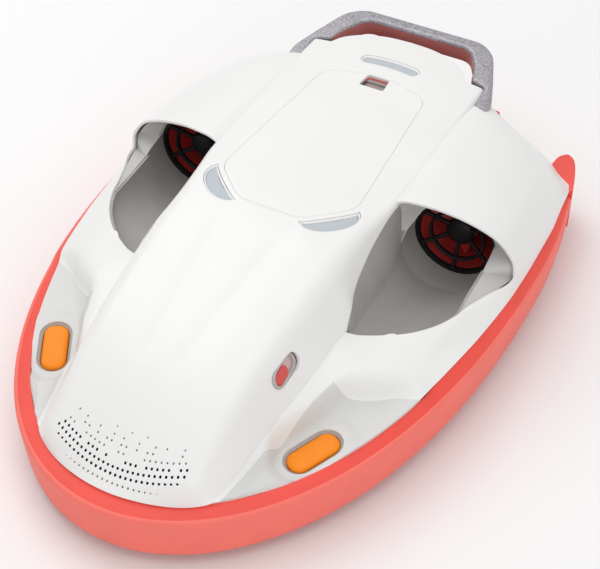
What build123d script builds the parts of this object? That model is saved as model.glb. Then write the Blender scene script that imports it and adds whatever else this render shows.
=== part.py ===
from build123d import *
import math
import os

# Twin-jet underwater scooter (electronic kickboard).  Millimetres.
# X is to the right, -Y is the bow, +Y is the stern, +Z is up.
# The origin is the centre of the bounding box's bottom face.

# ---------------------------------------------------------------- driving dimensions
# hull plan: a superelliptic bow, then a gentle parabolic taper to the stern
BOW_Y = -255.0
WIDEST_Y = 85.0
HALF_WIDTH = 178.0
BOW_POWER = 2.35
STERN_TAPER = 0.00115
HULL_STERN_Y = 190.0
HORN_Y = 236.0

# heights
FOOT_H = 3.0
CHINE_Z = 20.0
WALL_TOP_Z = 46.0
RIM_Z = 54.0
RIM_BEVEL = 3.0

# walls and clearances
WALL = 2.6
HULL_WALL = 3.0
SEAM = 0.4
TOUCH = 0.3
RUN = 0.05

# rim insets at the side and at the bow
RIM_SIDE = 10.0
RIM_BOW = 16.0
CHINE_SIDE = 5.0
CHINE_BOW = 6.0
KEEL_SIDE = 40.0
KEEL_BOW = 46.0

# spine deck: y, ridge x, ridge z, centre z, foot x, foot z
DECK_STATIONS = [
    (-246.0, 48.0, 40.0, 41.5, 60.0, 32.0),
    (-222.0, 52.5, 61.0, 63.0, 66.5, 47.0),
    (-206.0, 54.7, 73.4, 76.0, 70.0, 54.5),
    (-166.0, 59.5, 94.5, 97.5, 75.0, 63.5),
    (-106.0, 64.0, 111.0, 114.0, 82.0, 73.0),
    (-64.0, 66.5, 118.3, 121.0, 86.0, 80.0),
    (-21.0, 68.0, 122.5, 125.0, 77.0, 98.0),
    (34.0, 74.5, 121.0, 125.5, 75.5, 102.0),
    (120.0, 75.0, 120.5, 126.0, 75.5, 102.0),
    (201.0, 74.5, 119.6, 124.5, 75.0, 102.0),
]
DECK_STERN_Y = 201.0
TAB_HALF = 56.0
TAB_Y = 229.0
TAB_Z = 119.0
TAB_BOTTOM_Z = 80.0

# drain holes of the nose, in rows that follow the bow
HOLE_PITCHES = (6.4, 6.4, 12.8)
HOLE_SPREAD = 44.0
HOLE_EDGE = 28.0
HOLE_ROW = 8.0
HOLE_BEND = 0.003
HOLE_R = 1.0

# side decks: y, middle x, middle z, edge z (the inner edge follows the spine's foot)
SIDE_STATIONS = [
    (-240.0, 78.0, 46.0, 47.0),
    (-206.0, 84.0, 47.0, 49.0),
    (-166.0, 92.0, 47.5, 50.0),
    (-100.0, 103.0, 50.0, 52.0),
    (-70.0, 138.0, 65.5, 52.0),
    (-5.0, 148.0, 73.0, 52.0),
    (60.0, 158.0, 68.0, 52.0),
]
SIDE_DECK_STERN_Y = 46.0

# hoods: y, centre x, half width, base z, height, roundness power
HOOD_MOUTH = (46.5, 78.5, 87.0, 54.5, 68.0, 2.5)
HOOD_MIDDLE = (130.0, 78.5, 86.5, 54.5, 67.0, 2.3)
HOOD_STERN = (196.0, 77.5, 83.0, 54.5, 48.0, 1.4)
HOOD_INNER_X = 77.0
PANEL_Y = 184.0
PANEL_FOOT_Z = 30.0

# jet drives
DUCT_X = 113.3
DUCT_Z = 78.5
DUCT_R = 32.0
DUCT_WALL = 1.5
DUCT_LIP_Y = 47.3
DUCT_END_Y = 130.0
NOZZLE_END_Y = 194.0
NOZZLE_R = 22.0
NOZZLE_Z = 61.5
GRILLE_Y = 70.0
GRILLE_DISH = 8.0
GRILLE_T = 3.5
GRILLE_RING_W = 3.6
GRILLE_MID_R = 21.5
GRILLE_BAR_W = 2.6
GRILLE_HUB_R = 11.5
SPOKES = 6
PROP_Y = 90.0
PROP_LENGTH = 20.0
PROP_HUB_R = 11.0
PROP_TIP_GAP = 2.0
BLADES = 4
BLADE_PITCH = 38.0
SHAFT_R = 3.0
MOTOR_Y = 114.0
MOTOR_R = 16.0
MOTOR_LENGTH = 46.0
POD_WALL = 2.0
POD_TAIL = 20.0
VANES = 5
VANE_T = 2.4
VANE_LENGTH = 14.0

# grip buttons
BUTTON_POS = (106.4, -145.7, 48.3)
BUTTON_TURN = 28.4
BUTTON_TILT = 8.0
BUTTON_LENGTH = 40.0
BUTTON_WIDTH = 18.5
BUTTON_PROUD = 3.0
BEZEL_WIDTH = 3.2
FLANGE_WIDTH = 1.5
CUP_WALL = 1.8
BEZEL_DEPTH = 13.0
SPRING_R = 5.0
SPRING_WIRE = 0.6
SPRING_TURNS = 5

# lock slider on the right-hand slope of the spine
LOCK_POS = (71.3, -123.0, 92.0)
LOCK_LENGTH = 29.0
LOCK_WIDTH = 14.0
LOCK_RIM = 2.0
LOCK_DEPTH = 6.0
LOCK_TRAVEL = 9.0
LOCK_YAW = 7.0
LOCK_SLOPE = 64.0

# battery bay and its cover
COVER_STERN_Y = 172.0
COVER_STERN_HALF = 45.0
COVER_CORNER_Y = 160.0
COVER_WIDE_HALF = 56.5
COVER_WIDE_Y = 14.6
COVER_BOW_HALF = 25.7
COVER_BOW_Y = -14.4
HOOK_REACH = 4.0
HOOK_Z = 121.4
LATCH_X = 10.5
LATCH_WINDOW_Y = (152.5, 167.5)
LATCH_TRAVEL = 4.0
BAY_HALF = 44.0
BAY_BOW_Y = 6.0
BAY_STERN_Y = 135.0
BAY_FLOOR_Z = 58.0
BAY_TOP_Z = 116.0
BAY_WALL = 2.5
GASKET_T = 2.0

# carry handle
HANDLE_Y = 255.0
HANDLE_BAR = 12.0
HANDLE_TOP_Z = 128.0
HANDLE_THICK = 16.0
HANDLE_HALF = 66.0
HANDLE_FOOT_HALF = 89.0
HANDLE_FOOT_Y = 176.0
HANDLE_GRIP_T = 3.0
LEG_TOP_Z = 118.5
LEG_BOTTOM_Z = 109.6

# half-moon pads on the deck
PAD_SIZE = 42.0
PAD_BULGE = 15.0
PAD_RIM = 1.8
PAD_PROUD = 1.6
PAD_DEPTH = 4.0

# screws from below into towers that hang from the upper shells
SCREW_R = 1.5
SCREW_HEAD_R = 3.0
SCREW_TIP_Z = 28.0
TOWER_R = 4.5
TOWER_FOOT_Z = 12.3
BOW_SCREW = (40.0, -150.0)
SIDE_SCREW = (120.0, -90.0)
SCOOP_SCREW = (132.0, 20.0)
STERN_SCREW = (64.0, 176.0)


# ---------------------------------------------------------------- helpers
def half_width(y, side_inset=0.0, bow_inset=0.0):
    """Half width of the hull plan at y, pulled in at the side and at the bow."""
    width = HALF_WIDTH - side_inset
    if y > WIDEST_Y:
        return width - STERN_TAPER * (y - WIDEST_Y) ** 2
    reach = (WIDEST_Y - y) / (WIDEST_Y - BOW_Y - bow_inset)
    return width * math.sqrt(max(0.0, 1.0 - reach ** BOW_POWER))


def outline(side_inset, bow_inset, stern_y):
    """The hull plan as a face: one curve round the bow, closed across the stern."""
    length = WIDEST_Y - BOW_Y - bow_inset
    right = []
    for angle in (15, 30, 45, 60, 75, 90):
        a = math.radians(angle)
        y = WIDEST_Y - length * math.cos(a) ** (2 / BOW_POWER)
        right.append(((HALF_WIDTH - side_inset) * math.sin(a), y))
    for share in (1 / 3, 2 / 3, 1.0):
        y = WIDEST_Y + (stern_y - WIDEST_Y) * share
        right.append((half_width(y, side_inset, bow_inset), y))
    left = [(-x, y) for x, y in reversed(right)]
    points = left + [(0.0, BOW_Y + bow_inset)] + right
    curve = Spline(*points)
    return make_face(curve + Line(points[-1], points[0]))


def prism(face, low, high):
    return extrude(Pos(0, 0, low) * face, high - low)


def block(x0, x1, y0, y1, z0, z1):
    return Pos((x0 + x1) / 2, (y0 + y1) / 2, (z0 + z1) / 2) * Box(x1 - x0, y1 - y0, z1 - z0)


def rod_y(x, z, radius, y0, y1):
    """A cylinder along Y."""
    return Pos(x, (y0 + y1) / 2, z) * Rot(90, 0, 0) * Cylinder(radius, y1 - y0)


def rod_x(y, z, radius, x0, x1):
    """A cylinder along X."""
    return Pos((x0 + x1) / 2, y, z) * Rot(0, 90, 0) * Cylinder(radius, abs(x1 - x0))


def post(x, y, radius, z0, z1):
    """A cylinder along Z."""
    return Pos(x, y, (z0 + z1) / 2) * Cylinder(radius, z1 - z0)


def section(y, points):
    """A polygon of (x, z) points standing in the plane at y."""
    return make_face(Polyline(*[(x, y, z) for x, z in points], close=True))


def capsule(length, width):
    return SlotOverall(length, width)


def mirrored(part):
    return mirror(part, about=Plane.YZ)


def save(name, part):
    solids = part.solids()
    shape = solids[0] if len(solids) == 1 else Compound(children=list(solids))
    export_step(shape, f"parts/{name}.step")


def save_pair(name, right_part):
    save(f"{name}_right", right_part)
    save(f"{name}_left", mirrored(right_part))


# ---------------------------------------------------------------- hull, bumper, stern
def make_lower_hull():
    """The coral tub: a chined bottom, an upright wall behind the bumper, posts and saddles."""
    keel = outline(KEEL_SIDE, KEEL_BOW, HULL_STERN_Y)
    chine = outline(CHINE_SIDE, CHINE_BOW, HULL_STERN_Y)
    wall = outline(RIM_SIDE + TOUCH, RIM_BOW + TOUCH, HULL_STERN_Y)
    body = loft([Pos(0, 0, FOOT_H) * keel, Pos(0, 0, CHINE_Z) * chine], ruled=True)
    body += prism(wall, CHINE_Z, WALL_TOP_Z)
    inner_keel = outline(KEEL_SIDE + HULL_WALL, KEEL_BOW + HULL_WALL, HULL_STERN_Y - HULL_WALL)
    inner = outline(RIM_SIDE + TOUCH + HULL_WALL, RIM_BOW + TOUCH + HULL_WALL,
                    HULL_STERN_Y - HULL_WALL)
    floor_z = FOOT_H + HULL_WALL
    body -= loft([Pos(0, 0, floor_z) * inner_keel, Pos(0, 0, CHINE_Z) * inner], ruled=True)
    body -= prism(inner, CHINE_Z, WALL_TOP_Z + 1)
    for x in (-BAY_HALF + 8, BAY_HALF - 8):
        for y in (BAY_BOW_Y + 12, BAY_STERN_Y - 12):
            body += post(x, y, 6, floor_z - 1, BAY_FLOOR_Z)
    outer_r = DUCT_R + DUCT_WALL + TOUCH
    for side in (-1, 1):
        for y in (66.0, 116.0):
            saddle = block(side * DUCT_X - 24, side * DUCT_X + 24, y - 2, y + 2,
                           floor_z - 1, DUCT_Z - DUCT_R + 12)
            body += saddle - rod_y(side * DUCT_X, DUCT_Z, outer_r, y - 5, y + 5)
        body -= rod_y(side * DUCT_X, NOZZLE_Z + 1.5, NOZZLE_R + DUCT_WALL + 3.0, 184, 200)
    for x, y in screw_places():
        body += post(x, y, TOWER_R, floor_z - 1, TOWER_FOOT_Z - TOUCH)
        body -= post(x, y, SCREW_R + TOUCH, 0, TOWER_FOOT_Z)
        body -= post(x, y, SCREW_HEAD_R + TOUCH, 0, FOOT_H + 2.5)
    room = button_frame() * Pos(0, 0, -BEZEL_DEPTH - 1) * extrude(bezel_plan(TOUCH), 2 * BEZEL_DEPTH)
    room += button_frame() * Pos(0, 0, -TOUCH) * extrude(flange_plan(TOUCH), BEZEL_DEPTH)
    return body - room - mirrored(room)


def screw_places():
    """Every hull screw (x, y), on both sides."""
    return [(side * x, y) for side in (-1, 1) for x, y in (BOW_SCREW, SIDE_SCREW, SCOOP_SCREW, STERN_SCREW)]


def tower(place, top_z, side=1):
    """Screw tower that hangs from an upper shell down to the hull's post."""
    x, y = place
    body = post(side * x, y, TOWER_R, TOWER_FOOT_Z, top_z)
    return body - post(side * x, y, SCREW_R, TOWER_FOOT_Z - 1, SCREW_TIP_Z + 1)


def make_rim_bumper():
    """Soft band round the hull: an upright side face, a creased edge and a flat top."""
    low = outline(CHINE_SIDE, CHINE_BOW, HULL_STERN_Y)
    crease = outline(0, 0, HULL_STERN_Y)
    top = outline(RIM_BEVEL, RIM_BEVEL, HULL_STERN_Y)
    hole = outline(RIM_SIDE, RIM_BOW, HULL_STERN_Y + 20)
    band = loft([Pos(0, 0, CHINE_Z) * low, Pos(0, 0, RIM_Z - 2) * crease], ruled=True)
    band += loft([Pos(0, 0, RIM_Z - 2) * crease, Pos(0, 0, RIM_Z) * top], ruled=True)
    return band - prism(hole, CHINE_Z - 1, RIM_Z + 1)


def make_stern_fairing():
    """Coral stern: two outer horns, a U-shaped scallop behind each jet, a raised centre."""
    tail = block(-200, 200, HULL_STERN_Y + SEAM, HORN_Y, CHINE_Z, RIM_Z)
    plan = outline(0, 0, HORN_Y)
    body = prism(plan, CHINE_Z, RIM_Z) & tail
    centre = block(-80, 80, HULL_STERN_Y + SEAM, HORN_Y, CHINE_Z, TAB_BOTTOM_Z - SEAM)
    body += centre
    hollow_plan = outline(HULL_WALL, HULL_WALL, HORN_Y - HULL_WALL)
    body -= prism(hollow_plan, CHINE_Z + HULL_WALL, 36 - HULL_WALL) & block(
        -200, 200, HULL_STERN_Y, HORN_Y, CHINE_Z, RIM_Z)
    body -= block(-76, 76, HULL_STERN_Y, HORN_Y - 4, 36 - HULL_WALL - 0.5, TAB_BOTTOM_Z - SEAM - HULL_WALL)
    for side in (-1, 1):
        scallop = Pos(side * 112, HORN_Y + 2, 36) * Cylinder(
            33, 100, align=(Align.CENTER, Align.CENTER, Align.MIN))
        run = block(side * 112 - 26, side * 112 + 26, HULL_STERN_Y, HORN_Y, 36, 120)
        body -= scallop
        body -= run
    return body


def make_hull_gasket():
    """Seal between the hull wall and the shells above it."""
    outer = outline(RIM_SIDE + TOUCH + 0.4, RIM_BOW + TOUCH + 0.4, HULL_STERN_Y - 1)
    inner = outline(RIM_SIDE + 2.7, RIM_BOW + 2.7, HULL_STERN_Y + 20)
    ring = prism(outer, WALL_TOP_Z, WALL_TOP_Z + 1.2)
    ring -= prism(inner, WALL_TOP_Z - 1, WALL_TOP_Z + 3)
    room = button_frame() * Pos(0, 0, -TOUCH) * extrude(flange_plan(TOUCH), BEZEL_DEPTH)
    return ring - room - mirrored(room)


# ---------------------------------------------------------------- spine deck
def deck_section(station, drop, inset):
    """One cross-section of the spine, lowered by drop and narrowed by inset."""
    rx, rz, cz, fx, fz = station[1:]
    return [(-fx + inset, fz), (-rx + inset, rz - drop), (0, cz - drop), (rx - inset, rz - drop),
            (fx - inset, fz)]


def deck_shell():
    sections = []
    for station in DECK_STATIONS:
        outer = deck_section(station, 0, 0)
        inner = deck_section(station, WALL, WALL)
        sections.append(section(station[0], outer + inner[::-1]))
    return loft(sections, ruled=True)


def cover_plan(gap):
    """Plan of the battery cover, grown by gap."""
    half = [(0, COVER_STERN_Y + gap), (COVER_STERN_HALF + gap, COVER_CORNER_Y + gap),
            (COVER_WIDE_HALF + gap, COVER_WIDE_Y - gap), (COVER_BOW_HALF + gap, COVER_BOW_Y - gap)]
    left = [(-x, y) for x, y in reversed(half[1:])]
    plan = make_face(Polyline(*(half + left), close=True))
    corners = [v for v in plan.vertices() if abs(v.X) > 30]
    return fillet(corners, 7)


def upper_edge_lip(x_low, x_high, y_high, top_z):
    """Downward lip of the upper shells, standing on the gasket just inside the bumper."""
    near = SEAM + 0.2
    outer = outline(RIM_SIDE + near, RIM_BOW + near, HULL_STERN_Y)
    inner = outline(RIM_SIDE + near + WALL, RIM_BOW + near + WALL, HULL_STERN_Y + 20)
    ring = prism(outer, WALL_TOP_Z + 1.2, top_z) - prism(inner, 0, 100)
    return ring & block(x_low, x_high, -260, y_high, 0, 100)


def wall_room():
    """Room for the hull wall and its gasket below the upper shells."""
    outer = outline(RIM_SIDE - 5, RIM_BOW - 5, HULL_STERN_Y)
    inner = outline(RIM_SIDE + TOUCH + HULL_WALL + SEAM, RIM_BOW + TOUCH + HULL_WALL + SEAM,
                    HULL_STERN_Y + 20)
    return prism(outer, 0, WALL_TOP_Z + 1.2) - prism(inner, -1, 100)


def bow_holes():
    """Drain perforations that follow the bow edge in curved rows."""
    holes = []
    for row, pitch in enumerate(HOLE_PITCHES):
        count = int(HOLE_SPREAD / pitch)
        for i in range(-count, count + 1):
            x = i * pitch
            y = BOW_Y + HOLE_EDGE + HOLE_ROW * row + HOLE_BEND * x * x
            holes.append(Pos(x, y, 60) * Cylinder(HOLE_R, 60))
    return holes


def lock_frame():
    """Local frame of the lock: x along its travel, z out of the slope."""
    return Pos(*LOCK_POS) * Rot(0, LOCK_SLOPE, 0) * Rot(0, 0, 90 + LOCK_YAW)


def make_tab():
    """Rounded stern end of the spine, below the handle bar."""
    plan = make_face(Polyline((-TAB_HALF, DECK_STERN_Y - 8), (-TAB_HALF, DECK_STERN_Y + 6),
                              (-TAB_HALF + 18, TAB_Y - 3), (0, TAB_Y), (TAB_HALF - 18, TAB_Y - 3),
                              (TAB_HALF, DECK_STERN_Y + 6), (TAB_HALF, DECK_STERN_Y - 8), close=True))
    corners = [v for v in plan.vertices() if v.Y > DECK_STERN_Y and abs(v.X) > 1]
    plan = fillet(corners, 9)
    inner = offset(plan, -WALL)
    return prism(plan, TAB_BOTTOM_Z, TAB_Z) - prism(inner, TAB_BOTTOM_Z - 1, TAB_Z - WALL)


def make_deck(shell):
    """White spine: bow nose, crowned top, upright stern walls and rounded tab."""
    deck = shell & prism(outline(RIM_SIDE + SEAM, RIM_BOW + SEAM, 260), -10, 140)
    deck -= prism(cover_plan(SEAM), 90, 140)
    for place in PAD_PLACES:
        deck -= Pos(0, 0, -10) * extrude(pad_shape(place, PAD_RIM + 0.2), 20)
    deck += block(-9, 9, COVER_STERN_Y + 0.8, COVER_STERN_Y + 4, 119.6, 123.8)
    for side in (-1, 1):
        deck += tower(BOW_SCREW, 97.5, side)
        deck += tower(STERN_SCREW, 119.4, side)
    tab = make_tab()
    back = block(-74, 74, DECK_STERN_Y - WALL, DECK_STERN_Y, 102, 119.0)
    back -= block(-TAB_HALF + WALL, TAB_HALF - WALL, DECK_STERN_Y - 20, DECK_STERN_Y + 5, 70, 116.4)
    deck += back
    deck += tab - block(-90, 90, 150, DECK_STERN_Y - WALL, 60, 140)
    lip_x = 64.0
    deck += upper_edge_lip(-lip_x, lip_x, -200, 49.5)
    deck = deck - bow_holes()
    deck -= wall_room()
    seat = lock_frame() * extrude(capsule(LOCK_LENGTH + 4, LOCK_WIDTH + 4), -LOCK_DEPTH - 2)
    pocket = lock_frame() * Pos(0, 0, -LOCK_DEPTH) * extrude(
        capsule(LOCK_LENGTH + 0.4, LOCK_WIDTH + 0.4), 30)
    deck += seat
    deck -= pocket
    for y in HANDLE_SCREWS:
        for side in (-1, 1):
            deck -= rod_x(y, HANDLE_SCREW_Z, SCREW_R + TOUCH, side * 80, side * 66)
    return deck


HANDLE_SCREW_Z = 114.0
HANDLE_SCREWS = (182.0, 194.0)


def make_cover(shell):
    """Battery cover: the deck's own surface inside the cover's plan, with hooks and guides."""
    top = shell & prism(cover_plan(0), 90, 140)
    for side in (-1, 1):
        x0, x1 = sorted((side * 8.0, side * 17.0))
        top += block(x0, x1, COVER_BOW_Y - HOOK_REACH, COVER_BOW_Y + 3, HOOK_Z - 1.8, HOOK_Z)
        top += block(x0, x1, COVER_BOW_Y + 0.5, COVER_BOW_Y + 3, HOOK_Z - 1.8, HOOK_Z + 2)
    skirt = block(-BAY_HALF, BAY_HALF, BAY_BOW_Y, BAY_STERN_Y, BAY_TOP_Z + GASKET_T + 0.2, 121.0)
    skirt -= block(-BAY_HALF + WALL, BAY_HALF - WALL, BAY_BOW_Y + WALL, BAY_STERN_Y - WALL, 100, 140)
    skirt -= block(-80, 80, BAY_STERN_Y - WALL - 1, 200, BAY_TOP_Z + GASKET_T, 119.6)
    top += skirt
    low, high = LATCH_WINDOW_Y
    top -= block(-LATCH_X, LATCH_X, low, high, 110, 140)
    for side in (-1, 1):
        rail_x = side * (LATCH_X + 3.4)
        top += block(rail_x - 1.2, rail_x + 1.2, low - 8, high, 117.0, 123.0)
        lip_x = side * (LATCH_X + 2.4)
        top += block(lip_x - 1.8, lip_x + 1.8, low - 8, high, 115.4, 117.0)
    top += block(-5, 5, low - 16, low - 14, 117.0, 124.0)
    return top


def make_latch():
    """Thumb latch: a pad in the cover's window on a plate that hooks under the deck."""
    low, high = LATCH_WINDOW_Y
    plate = block(-LATCH_X - 1.9, LATCH_X + 1.9, low - 7, high + 0.8, 117.3, 119.3)
    pad = block(-LATCH_X + 0.7, LATCH_X - 0.7, low + LATCH_TRAVEL + 0.6, high - 0.6, 119.0, 124.2)
    step = block(-LATCH_X + 0.7, LATCH_X - 0.7, high - 4.0, high - 0.6, 124.0, 125.3)
    stop = block(-5, 5, low - 7, low - 5, 119.0, 122.0)
    return plate + pad + step + stop


def make_latch_spring():
    low = LATCH_WINDOW_Y[0]
    return Pos(0, low - 14, 120.4) * Rot(-90, 0, 0) * coil(1.6, 0.35, 5, 7.0)


def coil(radius, wire, turns, height):
    """Compression spring standing on z = 0, with flat rings for its ground ends."""
    pitch = (height - 2 * wire) / turns
    path = Helix(pitch=pitch, height=height - 2 * wire, radius=radius)
    start = Plane(path @ 0, z_dir=path % 0)
    return Pos(0, 0, wire) * sweep(start * Circle(wire), path=path, is_frenet=True)


# ---------------------------------------------------------------- side decks and hoods
def foot_at(y):
    """Spine foot (x, z) at y, straight between the deck stations."""
    for a, b in zip(DECK_STATIONS[:-1], DECK_STATIONS[1:]):
        if a[0] <= y <= b[0]:
            t = (y - a[0]) / (b[0] - a[0])
            return a[4] + (b[4] - a[4]) * t, a[5] + (b[5] - a[5]) * t
    return DECK_STATIONS[-1][4], DECK_STATIONS[-1][5]


def button_frame():
    return Pos(*BUTTON_POS) * Rot(0, 0, 90 - BUTTON_TURN) * Rot(0, -BUTTON_TILT, 0)


def bezel_plan(gap):
    """Plan of the button's cup, grown by gap."""
    grow = 2 * (CUP_WALL + gap)
    return capsule(BUTTON_LENGTH + grow, BUTTON_WIDTH + grow)


def flange_plan(gap):
    """Plan of the bezel's rim, grown by gap."""
    grow = 2 * (BEZEL_WIDTH + FLANGE_WIDTH + gap)
    return capsule(BUTTON_LENGTH + grow, BUTTON_WIDTH + grow)


def make_side_deck():
    """Right side deck: slopes from the spine's foot to the rim, with the sunken grip recess."""
    stations = sorted({s[0] for s in SIDE_STATIONS} | {-222.0, -64.0, -21.0, 34.0})
    sections = []
    for y in stations:
        top = side_line(y)
        sections.append(section(y, top + [(x, z - WALL) for x, z in reversed(top)]))
    deck = loft(sections, ruled=True)
    deck &= prism(outline(RIM_SIDE + SEAM, RIM_BOW + SEAM, HULL_STERN_Y), 0, 140)
    inner_x = foot_at(-222)[0] + SEAM
    deck += upper_edge_lip(inner_x, 200, -88, 49.2)
    deck += upper_edge_lip(inner_x, 200, SIDE_DECK_STERN_Y, 53.0) & block(0, 200, -89, 100, 0, 100)
    deck &= block(0, 200, -260, SIDE_DECK_STERN_Y, 0, 140)
    deck -= scoop_cutter(SEAM)
    length = BUTTON_LENGTH + 2 * BEZEL_WIDTH
    width = BUTTON_WIDTH + 2 * BEZEL_WIDTH
    seat = button_frame() * Pos(0, 0, -5.0) * extrude(capsule(length + 5, width + 5), 5.0)
    deck += seat
    deck -= button_frame() * extrude(flange_plan(TOUCH), 30)
    deck -= button_frame() * Pos(0, 0, -30) * extrude(bezel_plan(TOUCH), 60)
    deck -= wall_room()
    return deck + tower(SIDE_SCREW, 53.6)


def side_line(y):
    """Top line of the side deck at y: spine's foot, middle, and past the rim."""
    mx, mz, ez = side_profile(y)
    fx, fz = foot_at(y)
    ex = max(half_width(y, RIM_SIDE, RIM_BOW) + 10, mx + 6)
    return [(fx + SEAM, fz), (mx, mz), (ex, ez - 1)]


def side_z(x, y):
    """Height of the side deck's top at (x, y)."""
    line = side_line(y)
    for a, b in zip(line[:-1], line[1:]):
        if x <= b[0]:
            return a[1] + (b[1] - a[1]) * (x - a[0]) / (b[0] - a[0])
    return line[-1][1]


def side_profile(y):
    for a, b in zip(SIDE_STATIONS[:-1], SIDE_STATIONS[1:]):
        if a[0] <= y <= b[0]:
            t = (y - a[0]) / (b[0] - a[0])
            return tuple(p + (q - p) * t for p, q in zip(a[1:], b[1:]))
    return SIDE_STATIONS[-1][1:]


SCOOP_EDGE = [(104.0, -58.0), (120.0, -46.0), (136.0, -22.0), (148.0, 4.0), (164.0, 52.0)]
SCOOP_BOW = (86.5, -61.0)


def scoop_edge_x(y):
    """Outboard edge of the scoop opening at y."""
    for a, b in zip(SCOOP_EDGE[:-1], SCOOP_EDGE[1:]):
        if a[1] <= y <= b[1]:
            return a[0] + (b[0] - a[0]) * (y - a[1]) / (b[1] - a[1])
    return SCOOP_EDGE[0][0]


def scoop_cutter(gap):
    """Plan of the intake scoop as a tall prism, grown by gap."""
    inboard = [(70.0, SCOOP_EDGE[-1][1]), (70.0, SCOOP_BOW[1] + 1)]
    face = make_face(Polyline(*(inboard + [SCOOP_BOW] + SCOOP_EDGE), close=True))
    if gap:
        face = offset(face, gap, kind=Kind.INTERSECTION)
    return prism(face, 0, 140)


def hood_arc(station, inset):
    """Superelliptic arch from the top centre outboard and down to the base."""
    cx, half, base, height, power = station[1:]
    points = []
    for angle in range(0, 91, 9):
        a = math.radians(angle)
        x = cx + (half - inset) * math.sin(a) ** (2 / power)
        z = base + (height - inset) * math.cos(a) ** (2 / power)
        points.append((x, z))
    return points


def make_hood():
    """Right jet hood: an arched cover from the intake mouth to the stern."""
    sections = []
    for station in (HOOD_MOUTH, HOOD_MIDDLE, HOOD_STERN):
        outer = hood_arc(station, 0)
        inner = hood_arc(station, WALL)
        sections.append(section(station[0], outer + inner[::-1]))
    hood = loft(sections, ruled=True)
    hood += upper_edge_lip(100, 200, HULL_STERN_Y, HOOD_MOUTH[3] + 0.5) & block(
        100, 200, SIDE_DECK_STERN_Y + SEAM, HULL_STERN_Y, 0, 100)
    return hood & block(HOOD_INNER_X, 200, SIDE_DECK_STERN_Y + SEAM, 260, 0, 140)


def hood_arc_at(y, inset):
    """Hood arch at y, straight between the middle and stern sections."""
    share = (y - HOOD_MIDDLE[0]) / (HOOD_STERN[0] - HOOD_MIDDLE[0])
    pairs = zip(hood_arc(HOOD_MIDDLE, inset), hood_arc(HOOD_STERN, inset))
    return [(a[0] + (b[0] - a[0]) * share, a[1] + (b[1] - a[1]) * share) for a, b in pairs]


def make_stern_panel():
    """Right tail panel that closes the hood round the nozzle."""
    aft = PANEL_Y + WALL
    arch = [(max(x, HOOD_INNER_X + SEAM), z) for x, z in hood_arc_at(aft, WALL + SEAM)]
    edge_x = half_width(aft, RIM_SIDE) - WALL - 2 * SEAM
    arch = [(min(x, edge_x), z) for x, z in arch]
    face = section(PANEL_Y, arch + [(edge_x, PANEL_FOOT_Z), (arch[0][0], PANEL_FOOT_Z)])
    plate = extrude(face, WALL, dir=(0, 1, 0))
    share = (PANEL_Y - DUCT_END_Y) / (NOZZLE_END_Y - DUCT_END_Y)
    hole_r = DUCT_R + (NOZZLE_R - DUCT_R) * share + DUCT_WALL + TOUCH
    hole_z = DUCT_Z + (NOZZLE_Z - DUCT_Z) * share
    return plate - rod_y(DUCT_X, hole_z, hole_r, PANEL_Y - 5, aft + 5)


# ---------------------------------------------------------------- intake and jet drive
# trough sections: y, centre x, half width, bottom z, rim z
SCOOP_STATIONS = [
    (-57.0, 95.0, 6.0, 74.0, 76.5),
    (-30.0, 105.0, 20.0, 65.0, 72.0),
    (4.0, 110.5, 29.0, 53.5, 72.0),
    (45.0, DUCT_X, DUCT_R - 0.3, DUCT_Z - DUCT_R + 0.3, DUCT_Z),
]
FACE_T = 2.0
FACE_FOOT_Z = 60.0


def make_scoop():
    """Right intake scoop: a trough that deepens from the bow edge to a face round the duct."""
    sections = []
    for y, cx, half, bottom, rim in SCOOP_STATIONS:
        fx, fz = foot_at(y)
        edge_x = scoop_edge_x(y) - SEAM
        edge_z = side_z(edge_x, y)
        inner = [(fx, fz - SEAM)]
        outer = [(fx - WALL, fz - SEAM)]
        for step in range(9):
            a = math.pi * step / 8
            inner.append((cx - half * math.cos(a), rim - (rim - bottom) * math.sin(a)))
            if 0 < step < 8:
                outer.append((cx - (half + WALL) * math.cos(a),
                              rim - (rim - bottom + WALL) * math.sin(a)))
        inner.append((edge_x, edge_z))
        outer.append((edge_x, edge_z - WALL))
        sections.append(section(y, inner + outer[::-1]))
    scoop = loft(sections, ruled=True) + tower(SCOOP_SCREW, 54.8)
    return scoop + face_plate()


def face_plate():
    """Flat face at the hood's mouth, with the bore of the duct."""
    y = SCOOP_STATIONS[-1][0]
    arch = hood_arc(HOOD_MOUTH, WALL + SEAM)
    arch = [(x, z) for x, z in arch if z > FACE_FOOT_Z]
    face = section(y, arch + [(arch[-1][0], FACE_FOOT_Z), (arch[0][0], FACE_FOOT_Z)])
    plate = Pos(0, -0.4, 0) * extrude(face, FACE_T, dir=(0, 1, 0))
    bore = rod_y(DUCT_X, DUCT_Z, DUCT_R, y - 5, y + 5)
    return plate - bore


def make_duct():
    """Right duct: a straight tube with a rolled lip at the intake and a collar aft."""
    tube = rod_y(DUCT_X, DUCT_Z, DUCT_R + DUCT_WALL, DUCT_LIP_Y, DUCT_END_Y)
    tube -= rod_y(DUCT_X, DUCT_Z, DUCT_R, DUCT_LIP_Y - 1, DUCT_END_Y + 1)
    return tube


def circle_at(x, y, z, radius):
    return Plane((x, y, z), x_dir=(1, 0, 0), z_dir=(0, -1, 0)) * Circle(radius)


def make_nozzle():
    """Right nozzle: a cone that narrows and dips from the duct to the stern outlet."""
    start_y = DUCT_END_Y + SEAM
    outer = loft([circle_at(DUCT_X, start_y, DUCT_Z, DUCT_R + DUCT_WALL),
                  circle_at(DUCT_X, NOZZLE_END_Y, NOZZLE_Z, NOZZLE_R + DUCT_WALL)])
    inner = loft([circle_at(DUCT_X, start_y, DUCT_Z, DUCT_R),
                  circle_at(DUCT_X, NOZZLE_END_Y, NOZZLE_Z, NOZZLE_R)])
    return outer - inner


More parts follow.
